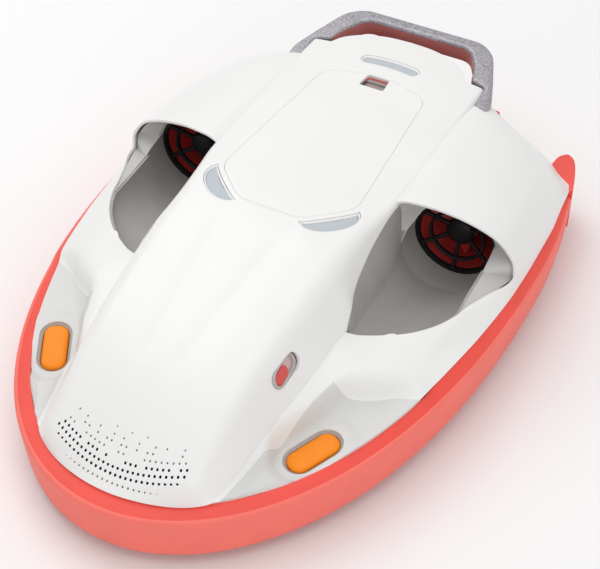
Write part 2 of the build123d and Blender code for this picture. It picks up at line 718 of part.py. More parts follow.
def make_grille():
    """Right intake grille: dished ring, middle ring, spokes and a domed hub."""
    ring_r = DUCT_R - 0.2
    strip = make_face(Polyline((ring_r, GRILLE_Y), (ring_r, GRILLE_Y + GRILLE_T),
                               (0, GRILLE_Y + GRILLE_DISH + GRILLE_T), (0, GRILLE_Y + GRILLE_DISH),
                               close=True))
    dish = Pos(DUCT_X, 0, DUCT_Z) * revolve(strip, axis=Axis.Y)
    span = (GRILLE_Y - 5, GRILLE_Y + 30)
    pattern = rod_y(DUCT_X, DUCT_Z, ring_r + 1, *span) - rod_y(
        DUCT_X, DUCT_Z, ring_r - GRILLE_RING_W, *span)
    half_bar = GRILLE_BAR_W / 2
    pattern += rod_y(DUCT_X, DUCT_Z, GRILLE_MID_R + half_bar, *span) - rod_y(
        DUCT_X, DUCT_Z, GRILLE_MID_R - half_bar, *span)
    pattern += rod_y(DUCT_X, DUCT_Z, GRILLE_HUB_R, *span)
    middle_y = sum(span) / 2
    for i in range(SPOKES):
        spoke = Pos(ring_r / 2, 0, 0) * Box(ring_r, span[1] - span[0], GRILLE_BAR_W)
        pattern += Pos(DUCT_X, middle_y, DUCT_Z) * Rot(0, 36 + 360 * i / SPOKES, 0) * spoke
    dome_y = GRILLE_Y + GRILLE_DISH
    dome = Pos(DUCT_X, dome_y + 6, DUCT_Z) * Sphere(GRILLE_HUB_R + 1.0)
    dome &= rod_y(DUCT_X, DUCT_Z, GRILLE_HUB_R, dome_y - 8, dome_y + 2)
    return (dish & pattern) + dome


def make_propeller():
    """Right propeller: a hub with pitched blades trimmed to the tip circle."""
    tip_r = DUCT_R - PROP_TIP_GAP
    hub = rod_y(DUCT_X, DUCT_Z, PROP_HUB_R, PROP_Y, PROP_Y + PROP_LENGTH)
    middle = PROP_Y + PROP_LENGTH / 2
    blades = None
    for i in range(BLADES):
        blade = Pos(PROP_HUB_R + 12, 0, 0) * Rot(BLADE_PITCH, 0, 0) * Box(32, 2.2, 25)
        blade = Pos(DUCT_X, middle, DUCT_Z) * Rot(0, 15 + 360 * i / BLADES, 0) * blade
        blades = blade if blades is None else blades + blade
    blades &= rod_y(DUCT_X, DUCT_Z, tip_r, PROP_Y, PROP_Y + PROP_LENGTH)
    prop = hub + blades
    return prop - rod_y(DUCT_X, DUCT_Z, SHAFT_R, PROP_Y - 1, PROP_Y + PROP_LENGTH + 1)


def make_spinner():
    """Domed nut that holds the propeller on its shaft."""
    dome = Pos(DUCT_X, PROP_Y, DUCT_Z) * Sphere(6.0)
    dome &= rod_y(DUCT_X, DUCT_Z, 6.0, PROP_Y - 5.0, PROP_Y)
    return dome - rod_y(DUCT_X, DUCT_Z, SHAFT_R, PROP_Y - 3, PROP_Y + 1)


def make_shaft():
    return rod_y(DUCT_X, DUCT_Z, SHAFT_R, PROP_Y - 3, MOTOR_Y + MOTOR_LENGTH - 4)


def make_rotor():
    """Magnet rotor on the shaft, inside the windings."""
    y0 = MOTOR_Y + 9
    rotor = rod_y(DUCT_X, DUCT_Z, 8.5, y0, y0 + MOTOR_LENGTH - 18)
    return rotor - rod_y(DUCT_X, DUCT_Z, SHAFT_R, y0 - 1, y0 + MOTOR_LENGTH)


def make_windings():
    y0 = MOTOR_Y + 9
    coils = rod_y(DUCT_X, DUCT_Z, MOTOR_R - POD_WALL, y0, y0 + MOTOR_LENGTH - 18)
    return coils - rod_y(DUCT_X, DUCT_Z, 9.3, y0 - 1, y0 + MOTOR_LENGTH)


def make_bearings():
    """Two ball bearings, one at each end of the motor."""
    rings = []
    for y in (MOTOR_Y + 2, MOTOR_Y + MOTOR_LENGTH - 7):
        ring = rod_y(DUCT_X, DUCT_Z, 8.0, y, y + 5)
        rings.append(ring - rod_y(DUCT_X, DUCT_Z, SHAFT_R + RUN, y - 1, y + 6))
    return rings[0] + rings[1]


def make_motor():
    """Sealed motor can with bearing seats."""
    can = rod_y(DUCT_X, DUCT_Z, MOTOR_R, MOTOR_Y, MOTOR_Y + MOTOR_LENGTH)
    can -= rod_y(DUCT_X, DUCT_Z, MOTOR_R - POD_WALL, MOTOR_Y + 7, MOTOR_Y + MOTOR_LENGTH - 7)
    can -= rod_y(DUCT_X, DUCT_Z, 8.0, MOTOR_Y + 2, MOTOR_Y + MOTOR_LENGTH - 2)
    can -= rod_y(DUCT_X, DUCT_Z, SHAFT_R + 0.5, MOTOR_Y - 1, MOTOR_Y + 10)
    return can


def make_stator():
    """Pod sleeve with a tail cone, carried in the duct by flow-straightening vanes."""
    sleeve_r = MOTOR_R + POD_WALL
    end_y = MOTOR_Y + MOTOR_LENGTH
    pod = rod_y(DUCT_X, DUCT_Z, sleeve_r, MOTOR_Y, end_y)
    tail = loft([circle_at(DUCT_X, end_y, DUCT_Z, sleeve_r),
                 circle_at(DUCT_X, end_y + POD_TAIL, DUCT_Z - 5, 5.0)])
    pod += tail
    vane_r = DUCT_R - 0.2
    for i in range(VANES):
        vane = Pos(vane_r / 2 + 4, 0, 0) * Box(vane_r - 8, VANE_LENGTH, VANE_T)
        middle = DUCT_END_Y - VANE_LENGTH / 2 - 0.5
        pod += Pos(DUCT_X, middle, DUCT_Z) * Rot(0, 90 + 360 * i / VANES, 0) * vane
    pod &= rod_y(DUCT_X, DUCT_Z, vane_r, MOTOR_Y - 1, end_y + POD_TAIL + 1)
    return pod - rod_y(DUCT_X, DUCT_Z, MOTOR_R + 0.02, MOTOR_Y - 1, end_y)


# ---------------------------------------------------------------- grip buttons
def make_bezel():
    """Right button bezel: a capsule cup with a rolled rim."""
    cup = Pos(0, 0, -BEZEL_DEPTH) * extrude(bezel_plan(0), BEZEL_DEPTH + 1.2)
    flange = extrude(flange_plan(0), 1.2)
    cup += Pos(0, 0, 0.1) * flange
    well = Pos(0, 0, -BEZEL_DEPTH + 2) * extrude(
        capsule(BUTTON_LENGTH + 2 * TOUCH, BUTTON_WIDTH + 2 * TOUCH), BEZEL_DEPTH + 3)
    return button_frame() * (cup - well)


def make_button():
    body = Pos(0, 0, -5) * extrude(capsule(BUTTON_LENGTH, BUTTON_WIDTH), 5 + BUTTON_PROUD)
    top = body.faces().sort_by(Axis.Z)[-1]
    body = fillet(top.edges(), 1.6)
    post = Pos(0, 0, -7.2) * Cylinder(2.0, 2.4, align=(Align.CENTER, Align.CENTER, Align.MIN))
    return button_frame() * (body + post)


def make_button_spring():
    height = BEZEL_DEPTH - 2 - 5
    return button_frame() * Pos(0, 0, -BEZEL_DEPTH + 2) * coil(SPRING_R, SPRING_WIRE, SPRING_TURNS, height)


def make_switch():
    """Sealed tactile switch on the floor of the bezel cup, inside the spring."""
    base = Pos(0, 0, -BEZEL_DEPTH + 2) * Cylinder(3.4, 1.2, align=(Align.CENTER, Align.CENTER, Align.MIN))
    return button_frame() * base


# ---------------------------------------------------------------- lock slider
def make_lock_bezel():
    """Capsule tray of the lock, with a raised rim and a slot floor."""
    tray = Pos(0, 0, -LOCK_DEPTH + 0.2) * extrude(capsule(LOCK_LENGTH, LOCK_WIDTH), LOCK_DEPTH + 1.0)
    well = Pos(0, 0, -LOCK_DEPTH + 2.2) * extrude(
        capsule(LOCK_LENGTH - 2 * LOCK_RIM, LOCK_WIDTH - 2 * LOCK_RIM), LOCK_DEPTH + 5)
    return lock_frame() * (tray - well)


def make_lock_slider():
    width = LOCK_WIDTH - 2 * LOCK_RIM - 0.6
    length = LOCK_LENGTH - 2 * LOCK_RIM - 0.6 - LOCK_TRAVEL
    thumb = Pos(0, 0, -LOCK_DEPTH + 2.5) * extrude(capsule(length, width), LOCK_DEPTH - 1.6)
    return lock_frame() * Pos(-LOCK_TRAVEL / 2, 0, 0) * thumb


# ---------------------------------------------------------------- battery and electronics
def make_battery_bay():
    """Open tray under the cover, standing on the hull's posts."""
    bay = block(-BAY_HALF, BAY_HALF, BAY_BOW_Y, BAY_STERN_Y, BAY_FLOOR_Z, BAY_TOP_Z)
    bay -= block(-BAY_HALF + BAY_WALL, BAY_HALF - BAY_WALL, BAY_BOW_Y + BAY_WALL,
                 BAY_STERN_Y - BAY_WALL, BAY_FLOOR_Z + BAY_WALL, BAY_TOP_Z + 5)
    return bay


def make_cover_gasket():
    """Rubber seal on the tray's rim, below the cover."""
    ring = block(-BAY_HALF, BAY_HALF, BAY_BOW_Y, BAY_STERN_Y, BAY_TOP_Z, BAY_TOP_Z + GASKET_T)
    return ring - block(-BAY_HALF + 2, BAY_HALF - 2, BAY_BOW_Y + 2, BAY_STERN_Y - 2,
                        BAY_TOP_Z - 1, BAY_TOP_Z + 5)


def make_battery():
    """Battery pack with a recessed pull grip."""
    gap = 1.0
    pack = block(-BAY_HALF + BAY_WALL + gap, BAY_HALF - BAY_WALL - gap, BAY_BOW_Y + BAY_WALL + gap,
                 BAY_STERN_Y - BAY_WALL - gap, BAY_FLOOR_Z + BAY_WALL, BAY_TOP_Z - 4)
    pack = fillet(pack.edges().filter_by(Axis.Z), 5)
    return pack


def make_controller():
    floor_z = FOOT_H + HULL_WALL
    case = block(-26, 26, 36, 106, floor_z, floor_z + 24)
    return case - block(-23, 23, 39, 103, floor_z + 3, floor_z + 21)


def make_controller_board():
    floor_z = FOOT_H + HULL_WALL
    board = block(-22, 22, 40, 102, floor_z + 3.0, floor_z + 4.6)
    for i, (x, y) in enumerate(((-12, 52), (0, 52), (12, 52), (-10, 84), (10, 84))):
        board += block(x - 4, x + 4, y - 5, y + 5, floor_z + 4.4, floor_z + 9 + 2 * (i % 2))
    return board


# ---------------------------------------------------------------- handle, pads, feet, fasteners
def make_handle():
    """Metal carry handle: a bow-shaped bar whose legs run along the spine's sides."""
    inner_y = HANDLE_Y - HANDLE_BAR
    outer = [(HANDLE_FOOT_HALF, HANDLE_FOOT_Y), (HANDLE_FOOT_HALF, 188.0), (80.0, 212.0),
             (HANDLE_HALF, 246.0), (54.0, HANDLE_Y)]
    inner = [(48.0, inner_y), (59.5, 222.0), (60.5, 207.0), (76.2, 203.0), (76.2, HANDLE_FOOT_Y)]
    loop = outer + [(-x, y) for x, y in reversed(outer)]
    hole = [(-x, y) for x, y in reversed(inner)]
    plan = make_face(Polyline(*(loop + hole + inner), close=True))
    corners = [v for v in plan.vertices() if v.Y > 180 and abs(v.X) < 75]
    plan = fillet(corners, 5)
    profile = Plane.YZ * Polyline((HANDLE_FOOT_Y, LEG_BOTTOM_Z), (HANDLE_FOOT_Y, LEG_TOP_Z),
                                  (HANDLE_Y - HANDLE_BAR - 4, HANDLE_TOP_Z), (HANDLE_Y, HANDLE_TOP_Z),
                                  (HANDLE_Y, HANDLE_TOP_Z - HANDLE_THICK),
                                  (HANDLE_Y - 22, HANDLE_TOP_Z - HANDLE_THICK),
                                  (204.0, LEG_BOTTOM_Z), close=True)
    side_view = extrude(make_face(profile), 100, both=True)
    bar = prism(plan, 100, 140) & side_view
    for y in HANDLE_SCREWS:
        for side in (-1, 1):
            bar -= rod_x(y, HANDLE_SCREW_Z, SCREW_R, side * 70, side * 84)
    return bar - grip_band(0.1)


def grip_band(gap):
    inner_y = HANDLE_Y - HANDLE_BAR
    return block(-44 - gap, 44 + gap, inner_y - 1, inner_y + HANDLE_GRIP_T + gap,
                 HANDLE_TOP_Z - HANDLE_THICK - 1, HANDLE_TOP_Z - 4 + gap)


def make_handle_grip():
    """Soft strip let into the inner face of the bar."""
    inner_y = HANDLE_Y - HANDLE_BAR
    return block(-44, 44, inner_y, inner_y + HANDLE_GRIP_T, HANDLE_TOP_Z - HANDLE_THICK, HANDLE_TOP_Z - 4)


def make_handle_screws():
    screws = None
    for y in HANDLE_SCREWS:
        screw = rod_x(y, HANDLE_SCREW_Z, SCREW_R - 0.02, 71.4, 83.5)
        screw += rod_x(y, HANDLE_SCREW_Z, SCREW_HEAD_R, 69.2, 71.6)
        screws = screw if screws is None else screws + screw
    return screws + mirrored(screws)


def half_moon(size, bulge, grow):
    """Rounded half-moon whose straight side lies grow above the local x axis."""
    shape = make_face(ThreePointArc((-size / 2, grow), (0, -bulge), (size / 2, grow))
                      + Line((size / 2, grow), (-size / 2, grow)))
    return fillet(shape.vertices(), 2.5 + grow)


PAD_PLACES = [(43.1, -2.1, 122.8, 43.3), (-43.1, -2.1, 122.8, -43.3), (0.0, 190.0, 124.8, 0.0)]
STERN_PAD = (47.0, 10.0)


def pad_shape(place, grow):
    x, y, z, turn = place
    if turn == 0:
        plan = capsule(STERN_PAD[0] + 2 * grow, STERN_PAD[1] + 2 * grow)
    else:
        plan = half_moon(PAD_SIZE + 2 * grow, PAD_BULGE + grow, grow)
    return Pos(x, y, z) * Rot(0, 0, turn) * plan


def make_pad_frames():
    """Raised white rims round the three pads, let into the deck."""
    frames = []
    for place in PAD_PLACES:
        ring = extrude(pad_shape(place, PAD_RIM), PAD_PROUD) + extrude(pad_shape(place, PAD_RIM), -PAD_DEPTH)
        well = Pos(0, 0, -PAD_DEPTH + 1) * extrude(pad_shape(place, 0.1), 20)
        frames.append(ring - well)
    return frames[0] + frames[1] + frames[2]


def make_pads():
    """Bluish grey rubber pads inside the frames."""
    pads = []
    for place in PAD_PLACES:
        pads.append(Pos(0, 0, -PAD_DEPTH + 1) * extrude(pad_shape(place, 0), PAD_DEPTH - 1 + PAD_PROUD - 0.6))
    return pads[0] + pads[1] + pads[2]


def make_hull_screws():
    screws = None
    for x, y in screw_places():
        screw = post(x, y, SCREW_R - 0.02, FOOT_H + 0.5, SCREW_TIP_Z)
        screw += post(x, y, SCREW_HEAD_R, FOOT_H + 0.5, FOOT_H + 2.5)
        screws = screw if screws is None else screws + screw
    return screws


FEET = [(sx * 74.0, y) for sx in (-1, 1) for y in (-90.0, 140.0)]


def make_feet():
    feet = None
    for x, y in FEET:
        pad = Pos(x, y, 0) * extrude(capsule(46, 16), FOOT_H)
        feet = pad if feet is None else feet + pad
    return feet


def main():
    os.makedirs("parts", exist_ok=True)
    shell = deck_shell()
    save("lower_hull", make_lower_hull())
    save("rim_bumper", make_rim_bumper())
    save("stern_fairing", make_stern_fairing())
    save("hull_gasket", make_hull_gasket())
    save("deck_cover", make_deck(shell))
    save("battery_cover", make_cover(shell))
    save("battery_latch", make_latch())
    save("latch_spring", make_latch_spring())
    save_pair("side_deck", make_side_deck())
    save_pair("jet_hood", make_hood())
    save_pair("stern_panel", make_stern_panel())
    save_pair("intake_scoop", make_scoop())
    save_pair("duct", make_duct())
    save_pair("jet_nozzle", make_nozzle())
    save_pair("intake_grille", make_grille())
    save_pair("propeller", make_propeller())
    save_pair("spinner_nut", make_spinner())
    save_pair("drive_shaft", make_shaft())
    save_pair("motor_rotor", make_rotor())
    save_pair("motor_windings", make_windings())
    save_pair("motor_bearings", make_bearings())
    save_pair("motor_can", make_motor())
    save_pair("stator", make_stator())
    save_pair("button_bezel", make_bezel())
    save_pair("grip_button", make_button())
    save_pair("button_spring", make_button_spring())
    save_pair("button_switch", make_switch())
    save("lock_bezel", make_lock_bezel())
    save("lock_slider", make_lock_slider())
    save("battery_bay", make_battery_bay())
    save("cover_gasket", make_cover_gasket())
    save("battery_pack", make_battery())
    save("controller_case", make_controller())
    save("controller_board", make_controller_board())
    save("carry_handle", make_handle())
    save("handle_grip", make_handle_grip())
    save("handle_screws", make_handle_screws())
    save("hull_screws", make_hull_screws())
    save("rubber_feet", make_feet())
    save("pad_frames", make_pad_frames())
    save("deck_pads", make_pads())


main()
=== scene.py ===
import math

import bmesh
import bpy
import numpy as np
from mathutils import Matrix, Vector


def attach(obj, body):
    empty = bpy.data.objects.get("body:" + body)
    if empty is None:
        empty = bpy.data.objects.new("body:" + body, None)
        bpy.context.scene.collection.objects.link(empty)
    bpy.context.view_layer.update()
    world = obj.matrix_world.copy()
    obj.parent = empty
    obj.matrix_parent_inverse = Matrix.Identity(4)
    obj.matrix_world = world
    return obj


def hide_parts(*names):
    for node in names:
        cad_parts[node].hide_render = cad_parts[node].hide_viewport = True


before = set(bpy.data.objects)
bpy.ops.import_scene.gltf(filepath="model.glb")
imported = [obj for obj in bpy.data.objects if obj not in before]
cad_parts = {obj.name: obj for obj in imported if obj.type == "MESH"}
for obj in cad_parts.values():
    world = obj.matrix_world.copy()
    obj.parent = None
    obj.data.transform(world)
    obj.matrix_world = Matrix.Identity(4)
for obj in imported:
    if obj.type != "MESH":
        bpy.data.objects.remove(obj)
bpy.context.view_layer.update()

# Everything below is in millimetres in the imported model's frame; meshes are scaled to metres.
MM = 0.001
WIDEST_Y, BOW_Y, STERN_Y = 85.0, -255.0, 190.0
HALF_WIDTH, BOW_POWER, STERN_TAPER = 178.0, 2.35, 0.00115
DUCT_X, DUCT_Z, DUCT_R = 113.3, 78.5, 32.0
BUTTON_POS, BUTTON_TURN, BUTTON_TILT = (106.4, -145.7, 48.3), 28.4, 8.0
COVER = [(0, 172.0), (45.0, 160.0), (56.5, 14.6), (25.7, -14.4)]   # right half of the lid's outline
RIM_INSET, RIM_BOW = 10.2, 14.2   # inner edge of the bumper: inset at the sides and at the bow
NOSE_RUN, NOSE_LOW = 9.0, 49.9    # the nose comes down to the bumper over this run, to this height
DECK_WALL, SIDE_WALL, HOOD_WALL, SCOOP_WALL = 2.6, 2.4, 2.3, 1.8


# ---- plan and interpolation
def half_width(y, inset=0.0, bow=0.0):
    width = HALF_WIDTH - inset
    if y > WIDEST_Y:
        return width - STERN_TAPER * (y - WIDEST_Y) ** 2
    reach = (WIDEST_Y - y) / (WIDEST_Y - BOW_Y - bow)
    return width * math.sqrt(max(0.0, 1.0 - max(0.0, reach) ** BOW_POWER))


def bow_y(x, inset, bow):
    """y of the bow curve at x."""
    share = min(1.0, abs(x) / (HALF_WIDTH - inset))
    return WIDEST_Y - (WIDEST_Y - BOW_Y - bow) * (1.0 - share * share) ** (1 / BOW_POWER)


def plan_point(angle, inset, bow):
    """Point on the plan curve: angle 0 is the bow's centre, 90 the widest place."""
    a = math.radians(angle)
    reach = max(0.0, math.cos(a)) ** (2 / BOW_POWER)
    return (HALF_WIDTH - inset) * math.sin(a), WIDEST_Y - (WIDEST_Y - BOW_Y - bow) * reach


def smooth_curve(xs, ys, x):
    """Monotone cubic through (xs, ys); ys may hold several values per key."""
    xs = np.asarray(xs, float)
    ys = np.asarray(ys, float)
    flat = ys.ndim == 1
    if flat:
        ys = ys[:, None]
    h = np.diff(xs)[:, None]
    d = np.diff(ys, axis=0) / h
    m = np.zeros_like(ys)
    m[0], m[-1] = d[0], d[-1]
    for k in range(1, len(xs) - 1):
        same = d[k - 1] * d[k] > 0
        w1, w2 = 2 * h[k] + h[k - 1], h[k] + 2 * h[k - 1]
        with np.errstate(divide="ignore", invalid="ignore"):
            value = (w1 + w2) / (w1 / d[k - 1] + w2 / d[k])
        m[k] = np.where(same, value, 0.0)
    x = np.clip(np.asarray(x, float), xs[0], xs[-1])
    i = np.clip(np.searchsorted(xs, x, side="right") - 1, 0, len(xs) - 2)
    t = np.atleast_1d((x - xs[i]) / (xs[i + 1] - xs[i]))[:, None]
    i = np.atleast_1d(i)
    out = ((1 + 2 * t) * (1 - t) ** 2 * ys[i] + t * (1 - t) ** 2 * h[i] * m[i]
           + t * t * (3 - 2 * t) * ys[i + 1] + t * t * (t - 1) * h[i] * m[i + 1])
    return out[:, 0] if flat else out


def net(rows, across, along):
    """Smooth surface through a net of control points: rows of equal length, finely sampled."""
    rows = np.asarray(rows, float)
    cols = np.linspace(0, 1, rows.shape[1])
    fine_u = np.linspace(0, 1, across)
    first = np.stack([smooth_curve(cols, row, fine_u) for row in rows])
    steps = np.linalg.norm(np.diff(first, axis=0), axis=2).mean(axis=1)
    keys = np.concatenate([[0], np.cumsum(np.maximum(steps, 1e-6))])
    fine_v = np.linspace(keys[0], keys[-1], along)
    return np.stack([smooth_curve(keys, first[:, j], fine_v) for j in range(across)], axis=1)


# ---- mesh helpers
def add_object(name, data):
    obj = bpy.data.objects.new(name, data)
    bpy.context.scene.collection.objects.link(obj)
    return obj


def new_object(name, verts, faces, smooth=True):
    mesh = bpy.data.meshes.new(name)
    mesh.from_pydata([tuple(float(c) * MM for c in v) for v in verts], [], faces)
    mesh.validate()
    if smooth:
        mesh.polygons.foreach_set("use_smooth", [True] * len(mesh.polygons))
    return add_object(name, mesh)


def grid_faces(rows, cols, flip=False, close=False):
    faces = []
    span = cols if close else cols - 1
    for i in range(rows - 1):
        for j in range(span):
            k = (j + 1) % cols
            face = (i * cols + j, (i + 1) * cols + j, (i + 1) * cols + k, i * cols + k)
            faces.append(face[::-1] if flip else face)
    return faces


def grid_object(name, grid, flip=False, close=False):
    rows, cols = grid.shape[:2]
    return new_object(name, grid.reshape(-1, 3), grid_faces(rows, cols, flip, close))


def mirror_grid(grid):
    out = grid.copy()
    out[..., 0] *= -1
    return out


def modifier(obj, kind, **values):
    mod = obj.modifiers.new(kind.lower(), kind)
    for key, value in values.items():
        setattr(mod, key, value)


def bake(obj):
    """Apply the modifiers."""
    deps = bpy.context.evaluated_depsgraph_get()
    mesh = bpy.data.meshes.new_from_object(obj.evaluated_get(deps))
    obj.modifiers.clear()
    old = obj.data
    obj.data = mesh
    bpy.data.meshes.remove(old)


def remove(obj):
    mesh = obj.data
    bpy.data.objects.remove(obj)
    bpy.data.meshes.remove(mesh)


def cut(obj, cutter, mode="DIFFERENCE", materials="INDEX"):
    """Boolean of an object with a cutter, which is used up."""
    modifier(obj, "BOOLEAN", object=cutter, operation=mode, solver="EXACT", material_mode=materials)
    bake(obj)
    remove(cutter)


def shade(obj, angle):
    """Smooth shading with sharp edges past the angle."""
    mesh = obj.data
    mesh.polygons.foreach_set("use_smooth", [True] * len(mesh.polygons))
    mesh.set_sharp_from_angle(angle=math.radians(angle))


def soften(obj, width, segments, angle):
    modifier(obj, "BEVEL", width=width * MM, segments=segments, limit_method="ANGLE",
             angle_limit=math.radians(angle), harden_normals=False, use_clamp_overlap=True)
    bake(obj)
    shade(obj, 50.0)


def clean(obj, distance=0.02, fill=False):
    """Merge doubled points, turn the faces outwards and, if asked, close the open ends first."""
    bm = bmesh.new()
    bm.from_mesh(obj.data)
    if fill:
        bmesh.ops.holes_fill(bm, edges=[e for e in bm.edges if e.is_boundary], sides=0)
    bmesh.ops.remove_doubles(bm, verts=bm.verts, dist=distance * MM)
    bmesh.ops.recalc_face_normals(bm, faces=bm.faces)
    bm.to_mesh(obj.data)
    bm.free()
    return obj


def join(name, parts):
    """One object from several, keeping each one's materials, if it has any."""
    mats = []
    for part in parts:
        mats += [m for m in part.data.materials if m not in mats]
    bm = bmesh.new()
    for part in parts:
        own = [mats.index(m) for m in part.data.materials] or [0]
        start = len(bm.faces)
        bm.from_mesh(part.data)
        bm.faces.ensure_lookup_table()
        for face in bm.faces[start:]:
            face.material_index = own[min(face.material_index, len(own) - 1)]
    mesh = bpy.data.meshes.new(name)
    bm.to_mesh(mesh)
    bm.free()
    for part in parts:
        remove(part)
    for m in mats:
        mesh.materials.append(m)
    return add_object(name, mesh)


def loop_prism(name, loop, low, high):
    """Closed prism over a plan loop of (x, y)."""
    n = len(loop)
    verts = [(x, y, low) for x, y in loop] + [(x, y, high) for x, y in loop]
    faces = [tuple(range(n))[::-1], tuple(range(n, 2 * n))]
    faces += [(i, (i + 1) % n, (i + 1) % n + n, i + n) for i in range(n)]
    return clean(new_object(name, verts, faces, smooth=False))


def rounded(points, radius, steps=6):
    """A closed polygon with its corners rounded."""
    out = []
    n = len(points)
    for i in range(n):
        p, a, b = (np.array(points[k % n], float) for k in (i, i - 1, i + 1))
        ra = (a - p) / np.linalg.norm(a - p)
        rb = (b - p) / np.linalg.norm(b - p)
        r = radius[i] if isinstance(radius, (list, tuple)) else radius
        r = min(r, 0.45 * np.linalg.norm(a - p), 0.45 * np.linalg.norm(b - p))
        if r < 0.05:
            out.append(tuple(p))
            continue
        for s in range(steps + 1):
            t = s / steps
            q = (1 - t) ** 2 * (p + ra * r) + 2 * t * (1 - t) * p + t * t * (p + rb * r)
            out.append(tuple(q))
    return out


def grown(loop, gap):
    """A closed loop moved outwards by gap (counter-clockwise or clockwise)."""
    pts = np.array(loop, float)
    nxt = np.roll(pts, -1, axis=0)
    prv = np.roll(pts, 1, axis=0)
    tangent = nxt - prv
    tangent /= np.maximum(np.linalg.norm(tangent, axis=1), 1e-9)[:, None]
    normal = np.stack([tangent[:, 1], -tangent[:, 0]], axis=1)
    area = np.sum(pts[:, 0] * nxt[:, 1] - nxt[:, 0] * pts[:, 1])
    return [tuple(p) for p in pts + normal * gap * (1 if area > 0 else -1)]


def local_frame(pos, rotations):
    m = Matrix.Translation(Vector(pos) * MM)
    for axis, angle in rotations:
        m = m @ Matrix.Rotation(math.radians(angle), 4, axis)
    return m


def mirrored_copy(obj, name):
    """The left twin of a right-hand piece."""
    mesh = obj.data.copy()
    mesh.transform(Matrix.Scale(-1, 4, (1, 0, 0)))
    mesh.flip_normals()
    return add_object(name, mesh)


# ---- materials
def feed(tree, node, inputs):
    """Give each of a node's inputs its value, or link it to another node's output."""
    for key, value in inputs.items():
        if isinstance(value, bpy.types.NodeSocket):
            tree.links.new(value, node.inputs[key])
        else:
            node.inputs[key].default_value = value


def add_node(tree, kind, inputs=None, **settings):
    node = tree.nodes.new(kind)
    for key, value in settings.items():
        setattr(node, key, value)
    feed(tree, node, inputs or {})
    return node


def noise(tree, coords, scale, detail):
    return add_node(tree, "ShaderNodeTexNoise", {"Vector": coords, "Scale": scale, "Detail": detail}).outputs["Fac"]


def ramp(tree, factor, *stops):
    """Colour ramp through (place, colour) stops."""
    node = add_node(tree, "ShaderNodeValToRGB", {"Fac": factor})
    elements = node.color_ramp.elements
    for element, (at, color) in zip(elements, (stops[0], stops[-1])):
        element.position = at
        element.color = (*color, 1)
    for at, color in stops[1:-1]:
        elements.new(at).color = (*color, 1)
    return node.outputs["Color"]


def map_range(tree, value, from_min=0.0, from_max=1.0, to_min=0.0, to_max=1.0):
    limits = {"From Min": from_min, "From Max": from_max, "To Min": to_min, "To Max": to_max}
    return add_node(tree, "ShaderNodeMapRange", {"Value": value, **limits}).outputs["Result"]


def mix(tree, factor, a, b):
    """Colour between a and b."""
    return add_node(tree, "ShaderNodeMix", {"Factor": factor, "A": a, "B": b}, data_type="RGBA").outputs["Result"]


def product(tree, a, b):
    return add_node(tree, "ShaderNodeMath", {0: a, 1: b}, operation="MULTIPLY").outputs["Value"]


def bump(tree, height, strength, distance):
    """Normal that follows a height; distance is in metres."""
    inputs = {"Height": height, "Strength": strength, "Distance": distance}
    return add_node(tree, "ShaderNodeBump", inputs).outputs["Normal"]


ROUGH_DRIFT = 0.06      # how far the gloss wanders to either side of a material's roughness


def plastic(name, color, vary=0.03, rough=0.42, grain=0.02, grain_scale=2600.0, metallic=0.0,
            coat=0.0, specular=0.5, blotch=28.0):
    """Moulded plastic: slow colour drift, fine moulded grain, uneven gloss."""
    mat = bpy.data.materials.new(name)
    mat.use_nodes = True
    tree = mat.node_tree
    coords = add_node(tree, "ShaderNodeTexCoord").outputs["Object"]
    slow = noise(tree, coords, blotch, 3.0)
    low = tuple(max(0.0, c * (1 - vary)) for c in color)
    high = tuple(min(1.0, c * (1 + vary)) for c in color)
    gloss = map_range(tree, slow, to_min=max(0.02, rough - ROUGH_DRIFT), to_max=min(1.0, rough + ROUGH_DRIFT))
    feed(tree, tree.nodes["Principled BSDF"], {
        "Base Color": ramp(tree, slow, (0.35, low), (0.65, high)), "Roughness": gloss,
        "Normal": bump(tree, noise(tree, coords, grain_scale, 2.0), grain, 0.0002),
        "Metallic": metallic, "Coat Weight": coat, "Specular IOR Level": specular})
    mat.diffuse_color = (*color, 1)
    return mat


def parts_of(mat):
    """A plastic's tree, its shader, its object coordinates and the output that colours it."""
    tree = mat.node_tree
    shader = tree.nodes["Principled BSDF"]
    coords = next(n for n in tree.nodes if n.type == "TEX_COORD").outputs["Object"]
    return tree, shader, coords, shader.inputs["Base Color"].links[0].from_socket


def speckled(name, color, dark, light):
    """Metallic paint with fine dark and light flakes."""
    mat = plastic(name, color, vary=0.04, grain=0.25, grain_scale=1500.0, metallic=0.35)
    tree, shader, coords, base = parts_of(mat)
    flakes = ramp(tree, noise(tree, coords, 900.0, 3.0), (0.36, dark), (0.5, color), (0.64, light))
    feed(tree, shader, {"Base Color": mix(tree, 0.75, base, flakes)})
    return mat


def split_by_y(name, fore, aft, y, **values):
    """Plastic of one colour towards the bow of y and another behind it."""
    mat = plastic(name, fore, **values)
    tree, shader, coords, base = parts_of(mat)
    along = add_node(tree, "ShaderNodeSeparateXYZ", {"Vector": coords}).outputs["Y"]
    step = map_range(tree, along, (y - 0.5) * MM, (y + 0.5) * MM)
    feed(tree, shader, {"Base Color": mix(tree, step, base, (*aft, 1))})
    return mat


